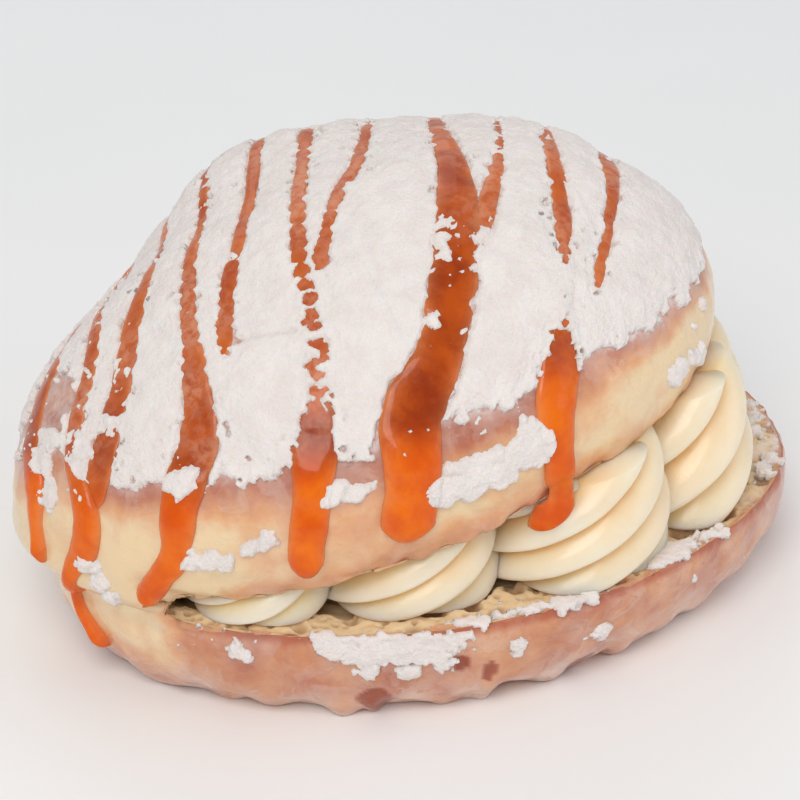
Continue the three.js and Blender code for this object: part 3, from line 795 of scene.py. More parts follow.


# Crumb relief: round pores of two sizes that sink where a cell's middle is near, and a rough ground. It
# also gives how deep in a pore each point lies, for painted shade there.
def crumbRelief(points):
    shadedPore = smooth(cellDistance(points, crumb["poreSize"], 21), 0.44, 0.16)
    shadedPore *= smooth(noise(points, 6.0, 22), -0.4, 0.1)
    small = smooth(cellDistance(points, crumb["smallPore"], 24), 0.42, 0.2)
    ground = crumb["rough"] * roughNoise(points, crumb["roughSize"], 4, 23)
    shade = np.maximum(shadedPore, crumb["smallShade"] * small)
    return shade, ground - crumb["poreDepth"] * shadedPore - crumb["smallDepth"] * small


# The torn crumb that shows along the rim of the lower half: a slab on a grid of angle and depth, pitted
# with painted shade in its pores, dusted towards the right end and brown at its outer edge.
def makeCrumb():
    first, last = mouth["from"] + crumb["margin"], mouth["to"] - crumb["margin"]
    angles = np.radians(np.arange(first, last, crumb["step"] * degreesEach))
    depths = np.arange(0.25, crumb["depth"], crumb["step"])
    angle, depth = np.meshgrid(angles, depths)
    rim = cutFace(angle, np.zeros_like(angle), -1)
    inner = cutFace(angle, np.ones_like(angle), -1)
    points = cutFace(angle, depth / np.linalg.norm(rim - inner, axis=-1), -1)
    points[..., 2] = bun["cutHeight"] + crumb["lift"]
    shadedPore, height = crumbRelief(points)
    height = height + crumb["swell"] * noise(points, crumb["swellSize"], 25)
    height = height * smooth(depth, 0.1, 1.6) - crumb["sink"]
    upward = np.zeros_like(points)
    upward[..., 2] = 1
    everywhere = np.ones(points.shape[:2], dtype=bool)
    made, faces, used = patchSurface(points, upward, height, crumb["thick"], everywhere)
    browned = crumb["browned"] * smooth(depth + 0.8 * noise(points, crumb["edgeSize"], 27), 2.2, 0.3)
    edge, shadedPores = (np.concatenate([values.ravel()] * 2)[used] for values in (browned, shadedPore))
    dust = crumb["dust"] + crumb["dustShift"] * roughNoise(made, crumb["dustSize"], 3, 26)
    dust = smooth(np.degrees(angleOf(made)), *crumb["dusted"]) * np.clip(dust, 0, 1)
    ones = np.ones(len(made))
    makePiece("crumbLedge", made, faces, materials["dough"], "dough",
              {"baked": ones * crumb["baked"], "glaze": 0 * ones, "dust": dust, "crumb": ones - edge,
               "shadedPore": shadedPores})


# Places on the map from the back to the front, each with the strand's width, how far the sugar creeps
# over its edges and how many specks of sugar lie on it. Past the dome's lip a strand goes on down the
# wall.
strands = (
    ((-0.25, 0.56, 2.4, 0.1, 0.3), (-0.44, 0.3, 3, 0, 0.4), (-0.59, 0.12, 4, 0, 0.4),
     (-0.69, 0, 4.8, 0, 0.4), (-0.77, -0.12, 5, 0, 0.3), (-0.86, -0.16, 3, 0, 0.1), (-1.0, -0.21, 2, 0, 0)),
    ((-0.22, 0.62, 2, 0.2, 0.2), (-0.38, 0.27, 2.4, 0, 0.3), (-0.47, -0.03, 3, 0, 0.5),
     (-0.63, -0.21, 3.4, 0, 0.6), (-0.74, -0.36, 4.6, 0, 0.3), (-0.87, -0.39, 4, 0, 0),
     (-1.02, -0.32, 2.2, 0, 0), (-1.16, -0.27, 2, 0, 0), (-1.25, -0.44, 1.8, 0, 0)),
    ((-0.1, 0.66, 1.8, 0.4, 0.2), (-0.22, 0.32, 2, 0.1, 0.2), (-0.31, 0.05, 2.8, 0, 0.5),
     (-0.44, -0.17, 3.8, 0, 0.6), (-0.57, -0.29, 4.2, 0, 0.7), (-0.72, -0.36, 4, 0.1, 0.3)),
    ((0.03, 0.72, 1.8, 0.4, 0.2), (-0.14, 0.2, 2, 0.1, 0.3), (-0.27, -0.13, 2.6, 0, 0.4),
     (-0.34, -0.33, 3.6, 0.2, 0.3), (-0.41, -0.47, 6.2, 0.1, 0.05), (-0.53, -0.56, 5.8, 0, 0.3),
     (-0.68, -0.66, 4.4, 0, 0.1), (-0.82, -0.645, 3.8, 0, 0), (-0.905, -0.6, 3.2, 0, 0)),
    ((0.12, 0.74, 1.8, 0.5, 0), (-0.01, 0.28, 2.1, 0, 0), (-0.12, -0.03, 2.1, 0, 0.1),
     (-0.21, -0.2, 2.6, 0.1, 0.3), (-0.29, -0.36, 3, 0.5, 0.3)),
    ((0.2, 0.76, 1.8, 0.5, 0), (0.05, 0.18, 2.2, 0, 0.1), (-0.07, -0.2, 2.4, 0, 0.2),
     (-0.11, -0.36, 3.6, 0.6, 0.6), (-0.16, -0.52, 3, 1.2, 0.6), (-0.24, -0.67, 5.8, 0.3, 0),
     (-0.34, -0.82, 5.2, 0, 0), (-0.47, -0.96, 5, 0, 0)),
    ((0.33, 0.73, 1.8, 0.5, 0), (0.12, 0.05, 2, 0, 0.1), (0.02, -0.14, 2, 0, 0.1),
     (-0.08, -0.32, 3, 0.2, 0.4)),
    ((0.42, 0.74, 2.6, 0.4, 0.3), (0.27, 0.05, 3.4, 0, 0.3), (0.21, -0.24, 5.4, 0, 0.7),
     (0.14, -0.45, 6.6, 0, 0.85), (0.05, -0.63, 7, 0, 0.3), (-0.05, -0.74, 8.2, 0, 0.15),
     (-0.11, -0.9, 7.2, 0, 0.1), (-0.19, -1.04, 6.6, 0, 0)),
    ((0.54, 0.64, 1.8, 0.5, 0.2), (0.38, 0.05, 1.8, 0.4, 0.4), (0.29, -0.2, 2.4, 0, 0.4),
     (0.2, -0.4, 3.8, 0, 0.7)),
    ((0.64, 0.58, 1.8, 0.4, 0.3), (0.46, 0, 2.3, 0, 0.4), (0.38, -0.38, 2.6, 0, 0.3),
     (0.33, -0.6, 3.2, 1.3, 0.8), (0.3, -0.74, 6, 0.3, 0.1), (0.27, -0.88, 5.8, 0, 0),
     (0.285, -1.08, 4.8, 0, 0)),
    ((0.76, 0.44, 2.4, 0.4, 0.2), (0.62, 0.06, 3.8, 0, 0.4), (0.54, -0.21, 2.2, 0, 0.3),
     (0.42, -0.56, 1.8, 0.1, 0.3)),
)
caramel = {
    "stations": 200, "sides": 20, "rise": 0.9, "riseShift": 0.3, "filmRise": 0.45, "sink": 1.0,
    "endRise": 0.9, "dripRise": 0.4, "endRound": 2.6, "waver": 0.12, "waverSize": 6.5, "fineWaver": 0.08,
    "fineSize": 2.6, "bulb": 5.0, "bulbWide": 0.06, "dripReach": 0.9, "poolFrom": 1.6, "poolTo": 2.8,
    "dust": 0.26, "poolDust": 0.22, "dustShift": 0.45,
}


# The drop that hangs from the lip on to the cream: x, y, z and width of its places, in millimetres.
hanging = {
    "places": ((5.95, -37.0, 35.0, 4.4), (6.2, -36.5, 31.4, 4.2), (5.8, -36.4, 29.4, 5.4),
               (4.6, -36.1, 27.7, 6.4), (2.4, -35.2, 26.0, 3.6)),
    "stations": 60, "normal": (0.1, -0.93, 0.35), "rise": 1.5,
}


# A smooth curve through knots (Catmull-Rom), at even steps along its length over the first axes. All of
# a knot's numbers are blended alike.
def strandPath(places, count, axes=2):
    knots = np.array(places)
    knots = np.concatenate([[2 * knots[0] - knots[1]], knots, [2 * knots[-1] - knots[-2]]])
    spans = len(knots) - 3
    t = np.linspace(0, spans - 1e-9, 40 * spans)
    k, f = np.floor(t).astype(int), (t % 1)[:, None]
    a, b, c, d = knots[k], knots[k + 1], knots[k + 2], knots[k + 3]
    square, cube = 2 * a - 5 * b + 4 * c - d, 3 * b - a - 3 * c + d
    line = 0.5 * (2 * b + (c - a) * f + square * f ** 2 + cube * f ** 3)
    run = np.concatenate([[0], np.cumsum(np.linalg.norm(np.diff(line[:, :axes], axis=0), axis=1))])
    even = np.linspace(0, run[-1], count)
    return [np.interp(even, run, column) for column in line.T]


# Half-width and rise along a strand: the width wavers, both ends are thin, and a drip past the sugar is
# thicker, with a bulb at its end.
def strandSize(index, width, points, run, share, length):
    waver = caramel["waver"] * noise(points, caramel["waverSize"], 40 + index)
    waver += caramel["fineWaver"] * noise(points, caramel["fineSize"], 60 + index)
    fromEnd = np.minimum(share, 1 - share) * length
    thin = np.sqrt(np.clip((fromEnd + 0.05) / caramel["endRound"], 0.004, 1))
    bulb = np.exp(-((1 - share) * length / caramel["bulb"]) ** 2) * run
    rise = caramel["rise"] * (1 + caramel["riseShift"] * noise(points, 4.0, 80 + index))
    rise = rise * (caramel["filmRise"] + (1 - caramel["filmRise"]) * run)
    rise = (rise + caramel["endRise"] * (caramel["dripRise"] * run + bulb)) * thin
    return width / 2 * (1 + waver) * thin * (1 + caramel["bulbWide"] * bulb), rise


# Every strand as stations: points on the relief of the skin, outward directions, half-widths, rises, how
# far the caramel runs past the sugar, how far the sugar creeps over it, and its specks.
def strandStations():
    made = []
    for index, places in enumerate(strands):
        p, q, width, creep, specks = strandPath(places, caramel["stations"])
        flat, normal = skinAt(p, q), skinNormal(p, q)
        points = flat + normal * (skinRelief(flat) + hingeFill(flat))[:, None]
        length = np.linalg.norm(np.diff(points, axis=0), axis=1).sum()
        run = smooth(np.hypot(p, q) - tableAt(sugarEdge, "limits", np.arctan2(q, p)), -0.06, 0.08)
        isDrip = np.hypot(p[-1], q[-1]) > caramel["dripReach"]
        half, rise = strandSize(index, width, points, run * isDrip, np.linspace(0, 1, len(p)), length)
        made.append((points, normal, half, rise, run, creep, specks))
    *middle, width = strandPath(hanging["places"], hanging["stations"], 3)
    thin = np.sqrt(1 - np.linspace(-1, 1, hanging["stations"]) ** 6 * 0.98)
    normal, ones = np.tile(hanging["normal"], (len(thin), 1)), np.ones(len(thin))
    half, rise = width / 2 * thin, hanging["rise"] * thin
    made.append((np.stack(middle, axis=-1), normal, half, rise, ones, 0 * ones, 0 * ones))
    return made


# A strand's surface: at each station a half oval over the skin, closed by a flat side sunk into the
# dough. It is thin where the oval comes down to the skin, and a pool where it is wide.
def strandSurface(points, normal, half, rise, run):
    turn = np.linspace(0, 2 * np.pi, caramel["sides"], endpoint=False)
    across = np.cross(unit(np.gradient(points, axis=0)), normal)
    sideways = np.cos(turn)[None] * half[:, None]
    up = np.abs(np.sin(turn))[None] ** 0.8
    lift = np.where(np.sin(turn)[None] > 0, up * rise[:, None], -up * caramel["sink"])
    rings = points[:, None] + across[:, None] * sideways[..., None] + normal[:, None] * lift[..., None]
    pool = smooth(half, caramel["poolFrom"], caramel["poolTo"])
    runs, pools = (np.concatenate([np.repeat(v, len(turn)), [v[0], v[-1]]]) for v in (run, pool))
    thin = np.concatenate([np.tile((1 - np.abs(np.sin(turn))) ** 1.5, len(points)), [1, 1]])
    return *capped(rings, points[0], points[-1]), runs, pools, thin


# The strands as one piece, with dust that is less on pools and none where the caramel runs.
def makeCaramel(stations):
    points, faces, run, pool, thin = joined([strandSurface(*station[:5]) for station in stations])
    dust = caramel["dust"] - caramel["poolDust"] * pool + caramel["dustShift"] * noise(points, 6.0, 45)
    dust = np.clip((1 - smooth(run, 0.1, 0.8)) * dust, 0, 1)
    makePiece("caramelStrands", points, faces, materials["caramel"], "dough",
              {"run": run, "pool": pool, "thin": thin, "dust": dust})


# Rosettes: middle angle, half-width along the rim, depth inwards, inset, ridge depth, climb per turn,
# tuck.
rosettes = (
    (227, 11.0, 10.0, 0.9, 0.14, 24, 0.10), (254, 14.0, 12.5, 2.6, 0.16, 26, 0.15),
    (285, 15.5, 14.5, -0.4, 0.18, 30, 0.20), (314.5, 14.5, 14.5, 1.4, 0.26, 44, 0.28),
    (347, 13.0, 13.0, 6.0, 0.20, 36, 0.50), (20, 14.0, 14.0, 7.5, 0.18, 30, 0.42),
    (56, 14.5, 13.5, 4.0, 0.17, 28, 0.18), (90, 11.5, 11.0, 2.4, 0.15, 24, 0.12),
)
cream = {
    "starts": 5, "columns": 240, "rows": 72, "crowding": 0.11, "footTuck": 0.03, "clearance": 0.35,
    "crest": 0.66, "rising": 1.2, "rolling": 0.6, "droop": 0.5, "droopWide": 0.25, "coreInset": 13.0,
    # the core's settings include its even share of the painted crease shade
    "coreMargin": 13.0, "coreBack": 0.86, "coreColumns": 90, "coreShade": 0.4, "waver": 0.25,
    "waverSize": 7.0,
}


# A ridge across its width: it swells gently as a sine to its crest, then rolls under as a quarter oval.
def ridgeProfile(phase):
    rising = np.sin(np.clip(phase / cream["crest"], 0, 1) * np.pi / 2) ** cream["rising"]
    rolled = np.clip((phase - cream["crest"]) / (1 - cream["crest"]), 0, 1)
    return rising * (1 - rolled ** 2) ** cream["rolling"]


# A rosette: an oval column from the floor of the cut to its ceiling whose ridges wind up round it.
def rosetteSurface(at, half, deep, inset, ridge, pitch, tuck):
    ox, oy = (float(v) for v in outline(np.radians(at)))
    outward = unit(np.array([ox / bun["halfLength"] ** 2, oy / bun["halfWidth"] ** 2]))
    middle = np.array([ox, oy]) - outward * (inset + deep)
    gap = gapAt(*middle)
    share = np.linspace(1, 0, cream["rows"])[:, None]
    even = np.arange(cream["columns"])[None] / cream["columns"]
    ridgeAt = even * cream["starts"]
    # points crowd together in the creases
    turn = (ridgeAt - cream["crowding"] * np.sin(2 * np.pi * ridgeAt)) / cream["starts"]
    phase = (turn * cream["starts"]) % 1
    profile = ridgeProfile(phase)
    swell = 1 - cream["footTuck"] * (1 - share) ** 4 - tuck * share ** 2.5
    scale = (1 - ridge * (1 - profile)) * swell
    wound = 2 * np.pi * (turn + share * gap / pitch)
    outwards, sideways = np.cos(wound) * deep * scale, np.sin(wound) * half * scale
    x = middle[0] + outward[0] * outwards - outward[1] * sideways
    y = middle[1] + outward[1] * outwards + outward[0] * sideways
    tall = gapAt(x, y) - 2 * cream["clearance"]
    atCrest = np.exp(-((phase - cream["crest"]) / cream["droopWide"]) ** 2)
    droop = cream["droop"] * atCrest * np.sin(np.pi * share)
    z = bun["cutHeight"] + cream["clearance"] + np.clip(share * tall - droop, 0, None)
    rings = np.stack([x, y, z], axis=-1)
    uneven = cream["waver"] * noise(rings, cream["waverSize"], 70) * np.sin(np.pi * share)
    rings[..., :2] += outward * uneven[..., None]
    top = np.array([*middle, bun["cutHeight"] + gap - cream["clearance"]])
    foot = np.array([*middle, bun["cutHeight"] + cream["clearance"]])
    points, faces = capped(rings, top, foot)
    # how deep in a crease each point lies, for the painted shade there
    creaseShade = np.concatenate([((1 - profile) ** 1.3 * np.ones_like(share)).ravel(), [1, 1]])
    return points, faces, creaseShade


# The cream behind the rosettes: the mouth's outline drawn in, from floor to ceiling.
def coreSurface():
    span = mouth["to"] - mouth["from"] - 2 * cream["coreMargin"]
    shares = np.linspace(0, 1, cream["coreColumns"])
    angles = np.radians(mouth["from"] + cream["coreMargin"] + span * shares)
    rim = np.stack(outline(angles), axis=-1)
    rim *= 1 - cream["coreInset"] / np.linalg.norm(rim, axis=1, keepdims=True)
    backwards = angles[::-3]
    back = cutFace(backwards, np.full_like(backwards, cream["coreBack"]), -1)[:, :2]
    plan = np.concatenate([rim, back])
    tall = gapAt(plan[:, 0], plan[:, 1]) - 2 * cream["clearance"]
    floor = bun["cutHeight"] + cream["clearance"]
    rings = np.stack([np.column_stack([plan, floor + tall * share]) for share in (1, 0.5, 0)])
    ceiling = floor + gapAt(0, 0) - 2 * cream["clearance"]
    return capped(rings, np.array([0, 0, ceiling]), np.array([0, 0, floor]))


# The cream as three pieces: the rosettes at the front, those at the back, and what lies behind them.
def makeCream():
    for name, chosen in (("creamFront", rosettes[:4]), ("creamBack", rosettes[4:])):
        points, faces, creaseShade = joined([rosetteSurface(*rosette) for rosette in chosen])
        makePiece(name, points, faces, materials["cream"], "cream", {"creaseShade": creaseShade})
    points, faces = coreSurface()
    # the core behind the rosettes takes an even share of the painted crease shade
    makePiece("creamCore", points, faces, materials["cream"], "cream",
              {"creaseShade": np.full(len(points), cream["coreShade"])})


sugar = {
    "step": 0.0042, "stepAcross": 1.3, "thick": 0.9, "thinEdge": 0.75, "least": 0.25, "sink": 0.5,
    "floor": 1.2, "lumpSizes": (2.6, 1.3, 0.7), "lumpShares": (0.5, 0.3, 0.2), "lumpHeight": 0.26,
    "grain": 0.1, "grainSize": 0.6, "onEdge": -0.3,
    # the edge: millimetres for each unit of the map, and how ragged it is
    "mapUnit": 48, "broad": 1.4, "broadSize": 8.0, "lumpEdge": 1.8, "raggedEdge": 2.2, "raggedSize": 3.4,
    "fray": 0.5, "fraySize": 1.5, "creepShift": 1.2, "leastEdge": 0.1, "creepEdge": 0.5,
    "patch": 7.0, "patchSize": 3.8, "patchLess": 0.6,  # the worn cover at the left end
    "bare": 0.12, "onStrand": 1.5, "density": 0.75, "densityShift": 0.7, "densitySize": 5.0,
    # specks: size, layers and seed of their noise, how rare they are, what density adds, how steep
    "specks": ((1.3, 3, 55, 0.7, 0.62, 1.6), (3.2, 4, 59, 0.72, 0.72, 4.0)),
    "speckReach": 0.06, "pit": 2.0, "pitSize": 0.8, "pitted": 10.0, "heapEdge": 0.55,
    # separate heaps on the dome: p, q, half-length along p and along q, in millimetres
    "heaps": (
        (-0.04, -0.955, 3.4, 2.6), (0.03, -0.965, 3.6, 3.0), (0.1, -0.97, 3.8, 3.2),
        (0.17, -0.955, 3.6, 2.8), (0.2, -0.93, 2.6, 3.4), (-0.27, -0.815, 2.2, 1.2),
        (-0.22, -0.85, 2.2, 1.1), (0.7, -0.76, 1.8, 1.4), (0.73, -0.73, 2.0, 1.5),
        (0.78, -0.68, 2.0, 1.5), (0.84, -0.64, 1.6, 1.6), (0.77, -0.6, 1.2, 1.0),
        (0.82, -0.52, 1.2, 1.4), (-0.66, -0.7, 1.8, 1.0), (-0.62, -0.745, 1.8, 1.3),
        (-0.59, -0.785, 1.6, 1.0), (-0.52, -0.8, 1.6, 1.2), (-0.47, -0.815, 1.8, 1.2),
        (-0.89, -0.43, 1.1, 1.6), (-0.92, -0.47, 1.2, 1.8), (-0.96, -0.49, 1.2, 1.8),
        (-0.99, -0.51, 1.1, 1.6), (-0.52, -0.51, 1.6, 1.1), (-0.5, -0.54, 1.8, 1.2),
        (-0.65, -0.26, 1.2, 2.0), (-0.61, -0.245, 1.2, 2.2), (-0.7, -0.12, 2.0, 2.4),
        (-0.76, -0.2, 2.4, 2.0), (0.3, 0.84, 5.0, 2.6), (-0.5, 0.72, 3.0, 2.0), (0.95, 0.2, 2.4, 2.0),
        (0.7, 0.66, 2.6, 1.8),
    ),
    "crack": ((-0.27, -0.335), (-0.16, -0.415)), "crackWidth": 0.4, "crackDepth": 0.9, "crackWander": 0.6,
    # the parts of the coat, as shares of the map's columns; how many columns they overlap by; their dip
    "parts": {"sugarLeft": (0, 0.34), "sugarMiddleLeft": (0.34, 0.5), "sugarMiddleRight": (0.5, 0.66),
              "sugarRight": (0.66, 1)},
    "lap": 8, "dip": 0.14,
}


# Lumps of powder: rounded heaps round random points, of three sizes, with a mean of about 0.
def lumps(points):
    mean = 0.55  # of the distances between points and the nearest random one
    sizes = enumerate(zip(sugar["lumpSizes"], sugar["lumpShares"]))
    return 2 * sum(share * (mean - cellDistance(points, size, 90 + k)) for k, (size, share) in sizes)


# For each point: how far it lies outside the nearest strand's edge, how high the strands stand under it,
# and the creep and specks of sugar at that place of the strand.
def fromStrands(points, stations):
    outside = np.full(points.shape[:-1], 99.0)
    rise, creep, specks = (np.zeros_like(outside) for _ in range(3))
    for centre, _, half, height, _, creeps, speck in stations:
        step = slice(0, None, 4)
        for c, h, r, over, dots in zip(centre[step], half[step], height[step], creeps[step], speck[step]):
            gap = np.sqrt(((points - c) ** 2).sum(axis=-1)) - h
            closer = gap < outside
            outside = np.where(closer, gap, outside)
            creep, specks = np.where(closer, over, creep), np.where(closer, dots, specks)
            under = r * np.sqrt(np.clip(1 - (np.clip(gap + h, 0, None) / h) ** 2, 0, 1))
            rise = np.maximum(rise, under)
    return outside, rise, creep, specks


# Turns a grid of surface points with heights into closed patches: the kept cells, walls down their
# edges, and the same cells again below. Also gives which of the grid's points, top and then bottom, are
# used.
def patchSurface(points, normals, height, floor, keep):
    rows, columns = height.shape
    cells = keep[:-1, :-1] & keep[1:, :-1] & keep[:-1, 1:] & keep[1:, 1:]
    r, c = np.nonzero(cells)
    a = r * columns + c
    b, d, e = a + columns, a + 1, a + columns + 1
    top = np.concatenate([np.stack([a, d, e], axis=-1), np.stack([a, e, b], axis=-1)])
    edges = np.concatenate([top[:, [0, 1]], top[:, [1, 2]], top[:, [2, 0]]])
    key = edges.min(axis=1) * rows * columns + edges.max(axis=1)
    _, index, counts = np.unique(key, return_index=True, return_counts=True)
    border = edges[index[counts == 1]]
    size = rows * columns
    wall = np.concatenate([np.stack([border[:, 1], border[:, 0], border[:, 0] + size], axis=-1),
                           np.stack([border[:, 1], border[:, 0] + size, border[:, 1] + size], axis=-1)])
    faces = np.concatenate([top, top[:, ::-1] + size, wall])
    outer = (points + normals * height[..., None]).reshape(-1, 3)
    inner = (points - normals * floor).reshape(-1, 3)
    used, faces = np.unique(faces, return_inverse=True)
    return np.concatenate([outer, inner])[used], faces.reshape(-1, 3), used


# The height of powder over its ground: a steep edge, then a lumpy, slowly thickening top.
def sugarHeight(cover, lump, points):
    thin = sugar["thinEdge"]
    body = sugar["thick"] * (thin + (1 - thin) * smooth(cover, 0.5, 4.0)) + sugar["lumpHeight"] * lump
    body += sugar["grain"] * noise(points, sugar["grainSize"], 58)
    sunk = sugar["sink"] * (1 - smooth(cover, -0.35, 0.0))
    return smooth(cover, -0.1, 0.55) * np.maximum(body, sugar["least"]) - sunk


# Raises the cover where heaps lie: an oval of that half-length along the map's p and half-width, with a
# ragged edge.
def withHeaps(cover, points, edge):
    for p, q, long, short in sugar["heaps"]:
        centre = skinPoint(p, q)
        away = points - centre
        run = away @ unit(skinPoint(p + 0.01, q) - centre)
        side = np.sqrt(np.clip((away ** 2).sum(axis=-1) - run ** 2, 0, None))
        heap = (1 - np.hypot(run / long, side / short)) * min(long, short) + sugar["heapEdge"] * edge
        cover = np.maximum(cover, heap)
    return cover


# How deep the crack goes at each point: a groove along the line between its ends.
def crackAt(points, ragged):
    start, end = (skinPoint(*place) for place in sugar["crack"])
    line = end - start
    along = np.clip(((points - start) @ line) / (line @ line), 0, 1)
    away = np.linalg.norm(points - start - along[..., None] * line, axis=-1) + sugar["crackWander"] * ragged
    return sugar["crackDepth"] * np.exp(-(away / sugar["crackWidth"]) ** 2)


# The dusting on the dome. Its cover, in millimetres inside its edge, is the least of how far a point is
# from the main cover's limit and from the strands, and patchy at the left end, with heaps and specks
# added and pits and a crack taken off.
def makeSugar(stations):
    step = sugar["step"]
    p, q = np.meshgrid(np.arange(-1.06, 1.06, step), np.arange(-1.08, 1.08, step * sugar["stepAcross"]))
    reach, limit = np.hypot(p, q), tableAt(sugarEdge, "limits", np.arctan2(q, p))
    flat, normals = skinAt(p, q), skinNormal(p, q)
    points = flat + normals * (skinRelief(flat) + hingeFill(flat))[..., None]
    outside, rise, creep, specks = fromStrands(points, stations)
    lump, ragged = lumps(points), roughNoise(points, sugar["raggedSize"], 4, 51)
    broad = noise(points, sugar["broadSize"], 52)
    edge = sugar["lumpEdge"] * lump + sugar["raggedEdge"] * ragged
    cover = (limit - reach) * sugar["mapUnit"] + sugar["broad"] * broad + edge
    worn = sugar["patch"] * roughNoise(points, sugar["patchSize"], 4, 53) - sugar["patchLess"]
    atEnd = smooth(p + 0.16 * smooth(q, -0.15, -0.38), -0.44, -0.56) * smooth(q, 0.7, 0.4)
    cover += atEnd * (np.minimum(cover, worn) - cover)
    fray = sugar["fray"] * roughNoise(points, sugar["fraySize"], 2, 49)
    uneven = (sugar["leastEdge"] + sugar["creepEdge"] * creep) * edge
    crept = creep * (1 + sugar["creepShift"] * broad) + uneven
    cover = np.minimum(cover, outside + crept + fray)
    dense = sugar["density"] + sugar["densityShift"] * noise(points, sugar["densitySize"], 54)
    near = np.where(outside < sugar["onStrand"], specks, sugar["bare"]) * dense
    speck = np.maximum(*((roughNoise(points, size, layers, seed) - rare + gain * near) * steep
                         for size, layers, seed, rare, gain, steep in sugar["specks"]))
    speck = np.where(reach < limit + sugar["speckReach"], speck, -1)
    pit = smooth(noise(points, sugar["pitSize"], 56), 0.5, 0.8)
    pit *= smooth(noise(points, sugar["pitted"], 57), -0.1, 0.3)
    cover = withHeaps(np.maximum(cover - sugar["pit"] * pit, speck), points, edge)
    height = rise * smooth(outside, 0.3, -0.3) + sugarHeight(cover, lump, points)
    height -= crackAt(points, ragged)
    keep = (cover > sugar["onEdge"]) & (reach < 1.1)
    columns, lap = np.arange(p.shape[1]), sugar["lap"]
    for name, ends in sugar["parts"].items():
        first, last = (int(share * len(columns)) for share in ends)
        part = slice(max(first - lap, 0), last + lap)
        # each part dips a little towards its ends, under the next one
        past = np.maximum(first + lap - columns[part], columns[part] - (last - lap)) / (2 * lap)
        inner = (columns[part] > lap) & (columns[part] < len(columns) - lap)
        dip = sugar["dip"] * np.where(inner, np.clip(past, 0, 1) ** 2, 0)
        made, faces, _ = patchSurface(points[:, part], normals[:, part], height[:, part] - dip,
                                      sugar["floor"], keep[:, part])
        makePiece(name, made, faces, materials["sugar"], "dough")


rimSugar = {
    "step": 0.3, "inner": 9.0, "outer": 14.0, "floor": 1.0, "reach": 70.0, "wall": 17.5, "beforeMouth": 60,
    "pastMouth": 20, "lumpEdge": 2.2, "raggedEdge": 2.4, "raggedSize": 3.0, "grit": 0.5, "rimGrit": 0.3,
    "gritSize": 1.7,
    # heaps: angle, place across the rim (inwards when negative), half-length, half-width, in millimetres
    "heaps": (
        (240, 0.0, 2.2, 1.6), (243, 1.5, 2.6, 2.4), (247, 2.0, 3.4, 3.0), (251, 2.5, 3.4, 2.6),
        (255, 3.5, 3.4, 3.0), (258, 2.0, 2.6, 2.0), (246, 5.5, 1.8, 1.4), (252, 6.5, 2.0, 1.6),
        (257, 6.0, 1.8, 1.6), (263, -1.5, 3.2, 1.4), (267, -1.6, 3.2, 1.7), (271, -1.4, 3.0, 1.6),
        (275, -1.0, 3.0, 1.3), (280, -0.6, 3, 0.9), (296, -2.6, 2.8, 2.6), (299, -2.8, 3.0, 2.8),
        (302, -2.4, 2.8, 2.2), (307, -1.4, 2.4, 0.9), (281, 6.8, 1.0, 0.9), (268, 4.2, 1.2, 0.8),
        (226, 3.0, 1.8, 1.0), (300, 4.0, 1.2, 1.0), (334, -2.2, 2.0, 0.9), (346, -2.6, 2.2, 0.8),
        (356, -1.6, 2.6, 0.9), (10, -2.4, 3.0, 1.2), (30, -1.5, 4.0, 1.6), (60, -1.2, 5.0, 1.6),
        (84, -1.0, 3.0, 1.4), (48, 6.0, 3.0, 2.0),
    ),
}


# A place across the rim of the lower half: inwards along the cut's floor or outwards and down the wall.
def rimPoint(angle, across):
    floor = cutFace(angle, np.clip(-across / rimSugar["reach"], 0, 1), -1)
    wall = wallSkin(angle, np.clip(across / rimSugar["wall"], 0, 1))
    return np.where((across < 0)[..., None], floor, wall)


# Sugar spilt on the rim: heaps on a grid of angle and place across, with a thin scatter of grains.
def makeRimSugar():
    first, last = mouth["from"] - rimSugar["beforeMouth"], mouth["to"] + rimSugar["pastMouth"]
    step = rimSugar["step"]
    angles = np.radians(np.arange(first, last, step * degreesEach))
    angle, across = np.meshgrid(angles, np.arange(-rimSugar["inner"], rimSugar["outer"], step))
    across = np.where(openShare(angle) < 1, np.maximum(across, 0), across)
    points = rimPoint(angle, across)
    alongAngle = rimPoint(angle + 0.01, across) - rimPoint(angle - 0.01, across)
    alongAcross = rimPoint(angle, across + 1.2) - rimPoint(angle, across - 1.2)
    normals = unit(np.cross(alongAcross, alongAngle))
    on = smooth(across, 0.0, 1.0)
    points = points + normals * (skinRelief(points) * on + crumb["lift"] * (1 - on))[..., None]
    lump, ragged = lumps(points), roughNoise(points, rimSugar["raggedSize"], 4, 61)
    edge = rimSugar["lumpEdge"] * lump + rimSugar["raggedEdge"] * ragged
    degrees = np.degrees(angle)
    eachRadian = np.linalg.norm(alongAngle, axis=-1) / 0.02  # in millimetres
    cover = np.full(points.shape[:-1], -9.0)
    for at, place, long, short in rimSugar["heaps"]:
        away = np.radians(degreesFrom(at, degrees)) * eachRadian
        heap = (1 - np.hypot(away / long, (across - place) / short)) * min(long, short)
        cover = np.maximum(cover, heap + edge)
    atRim = smooth(np.abs(across + 1), 4.0, 0.5)
    grit = rimSugar["grit"] * noise(points, 7.0, 62) + rimSugar["rimGrit"] * atRim
    size = rimSugar["gritSize"]
    cover = np.maximum(cover, (grit * 0.4 - cellDistance(points, size, 63)) * size)
    height = sugarHeight(cover, lump, points)
    keep = (cover > sugar["onEdge"]) & (np.abs(across) < rimSugar["outer"] - 1)
    made, faces, _ = patchSurface(points, normals, height, rimSugar["floor"], keep)
    makePiece("rimSugar", made, faces[:, ::-1], materials["sugar"], "dough")


stations = strandStations()
makeDough()
makeCrumb()
makeCaramel(stations)
makeCream()
makeSugar(stations)
makeRimSugar()
print("pieces made")


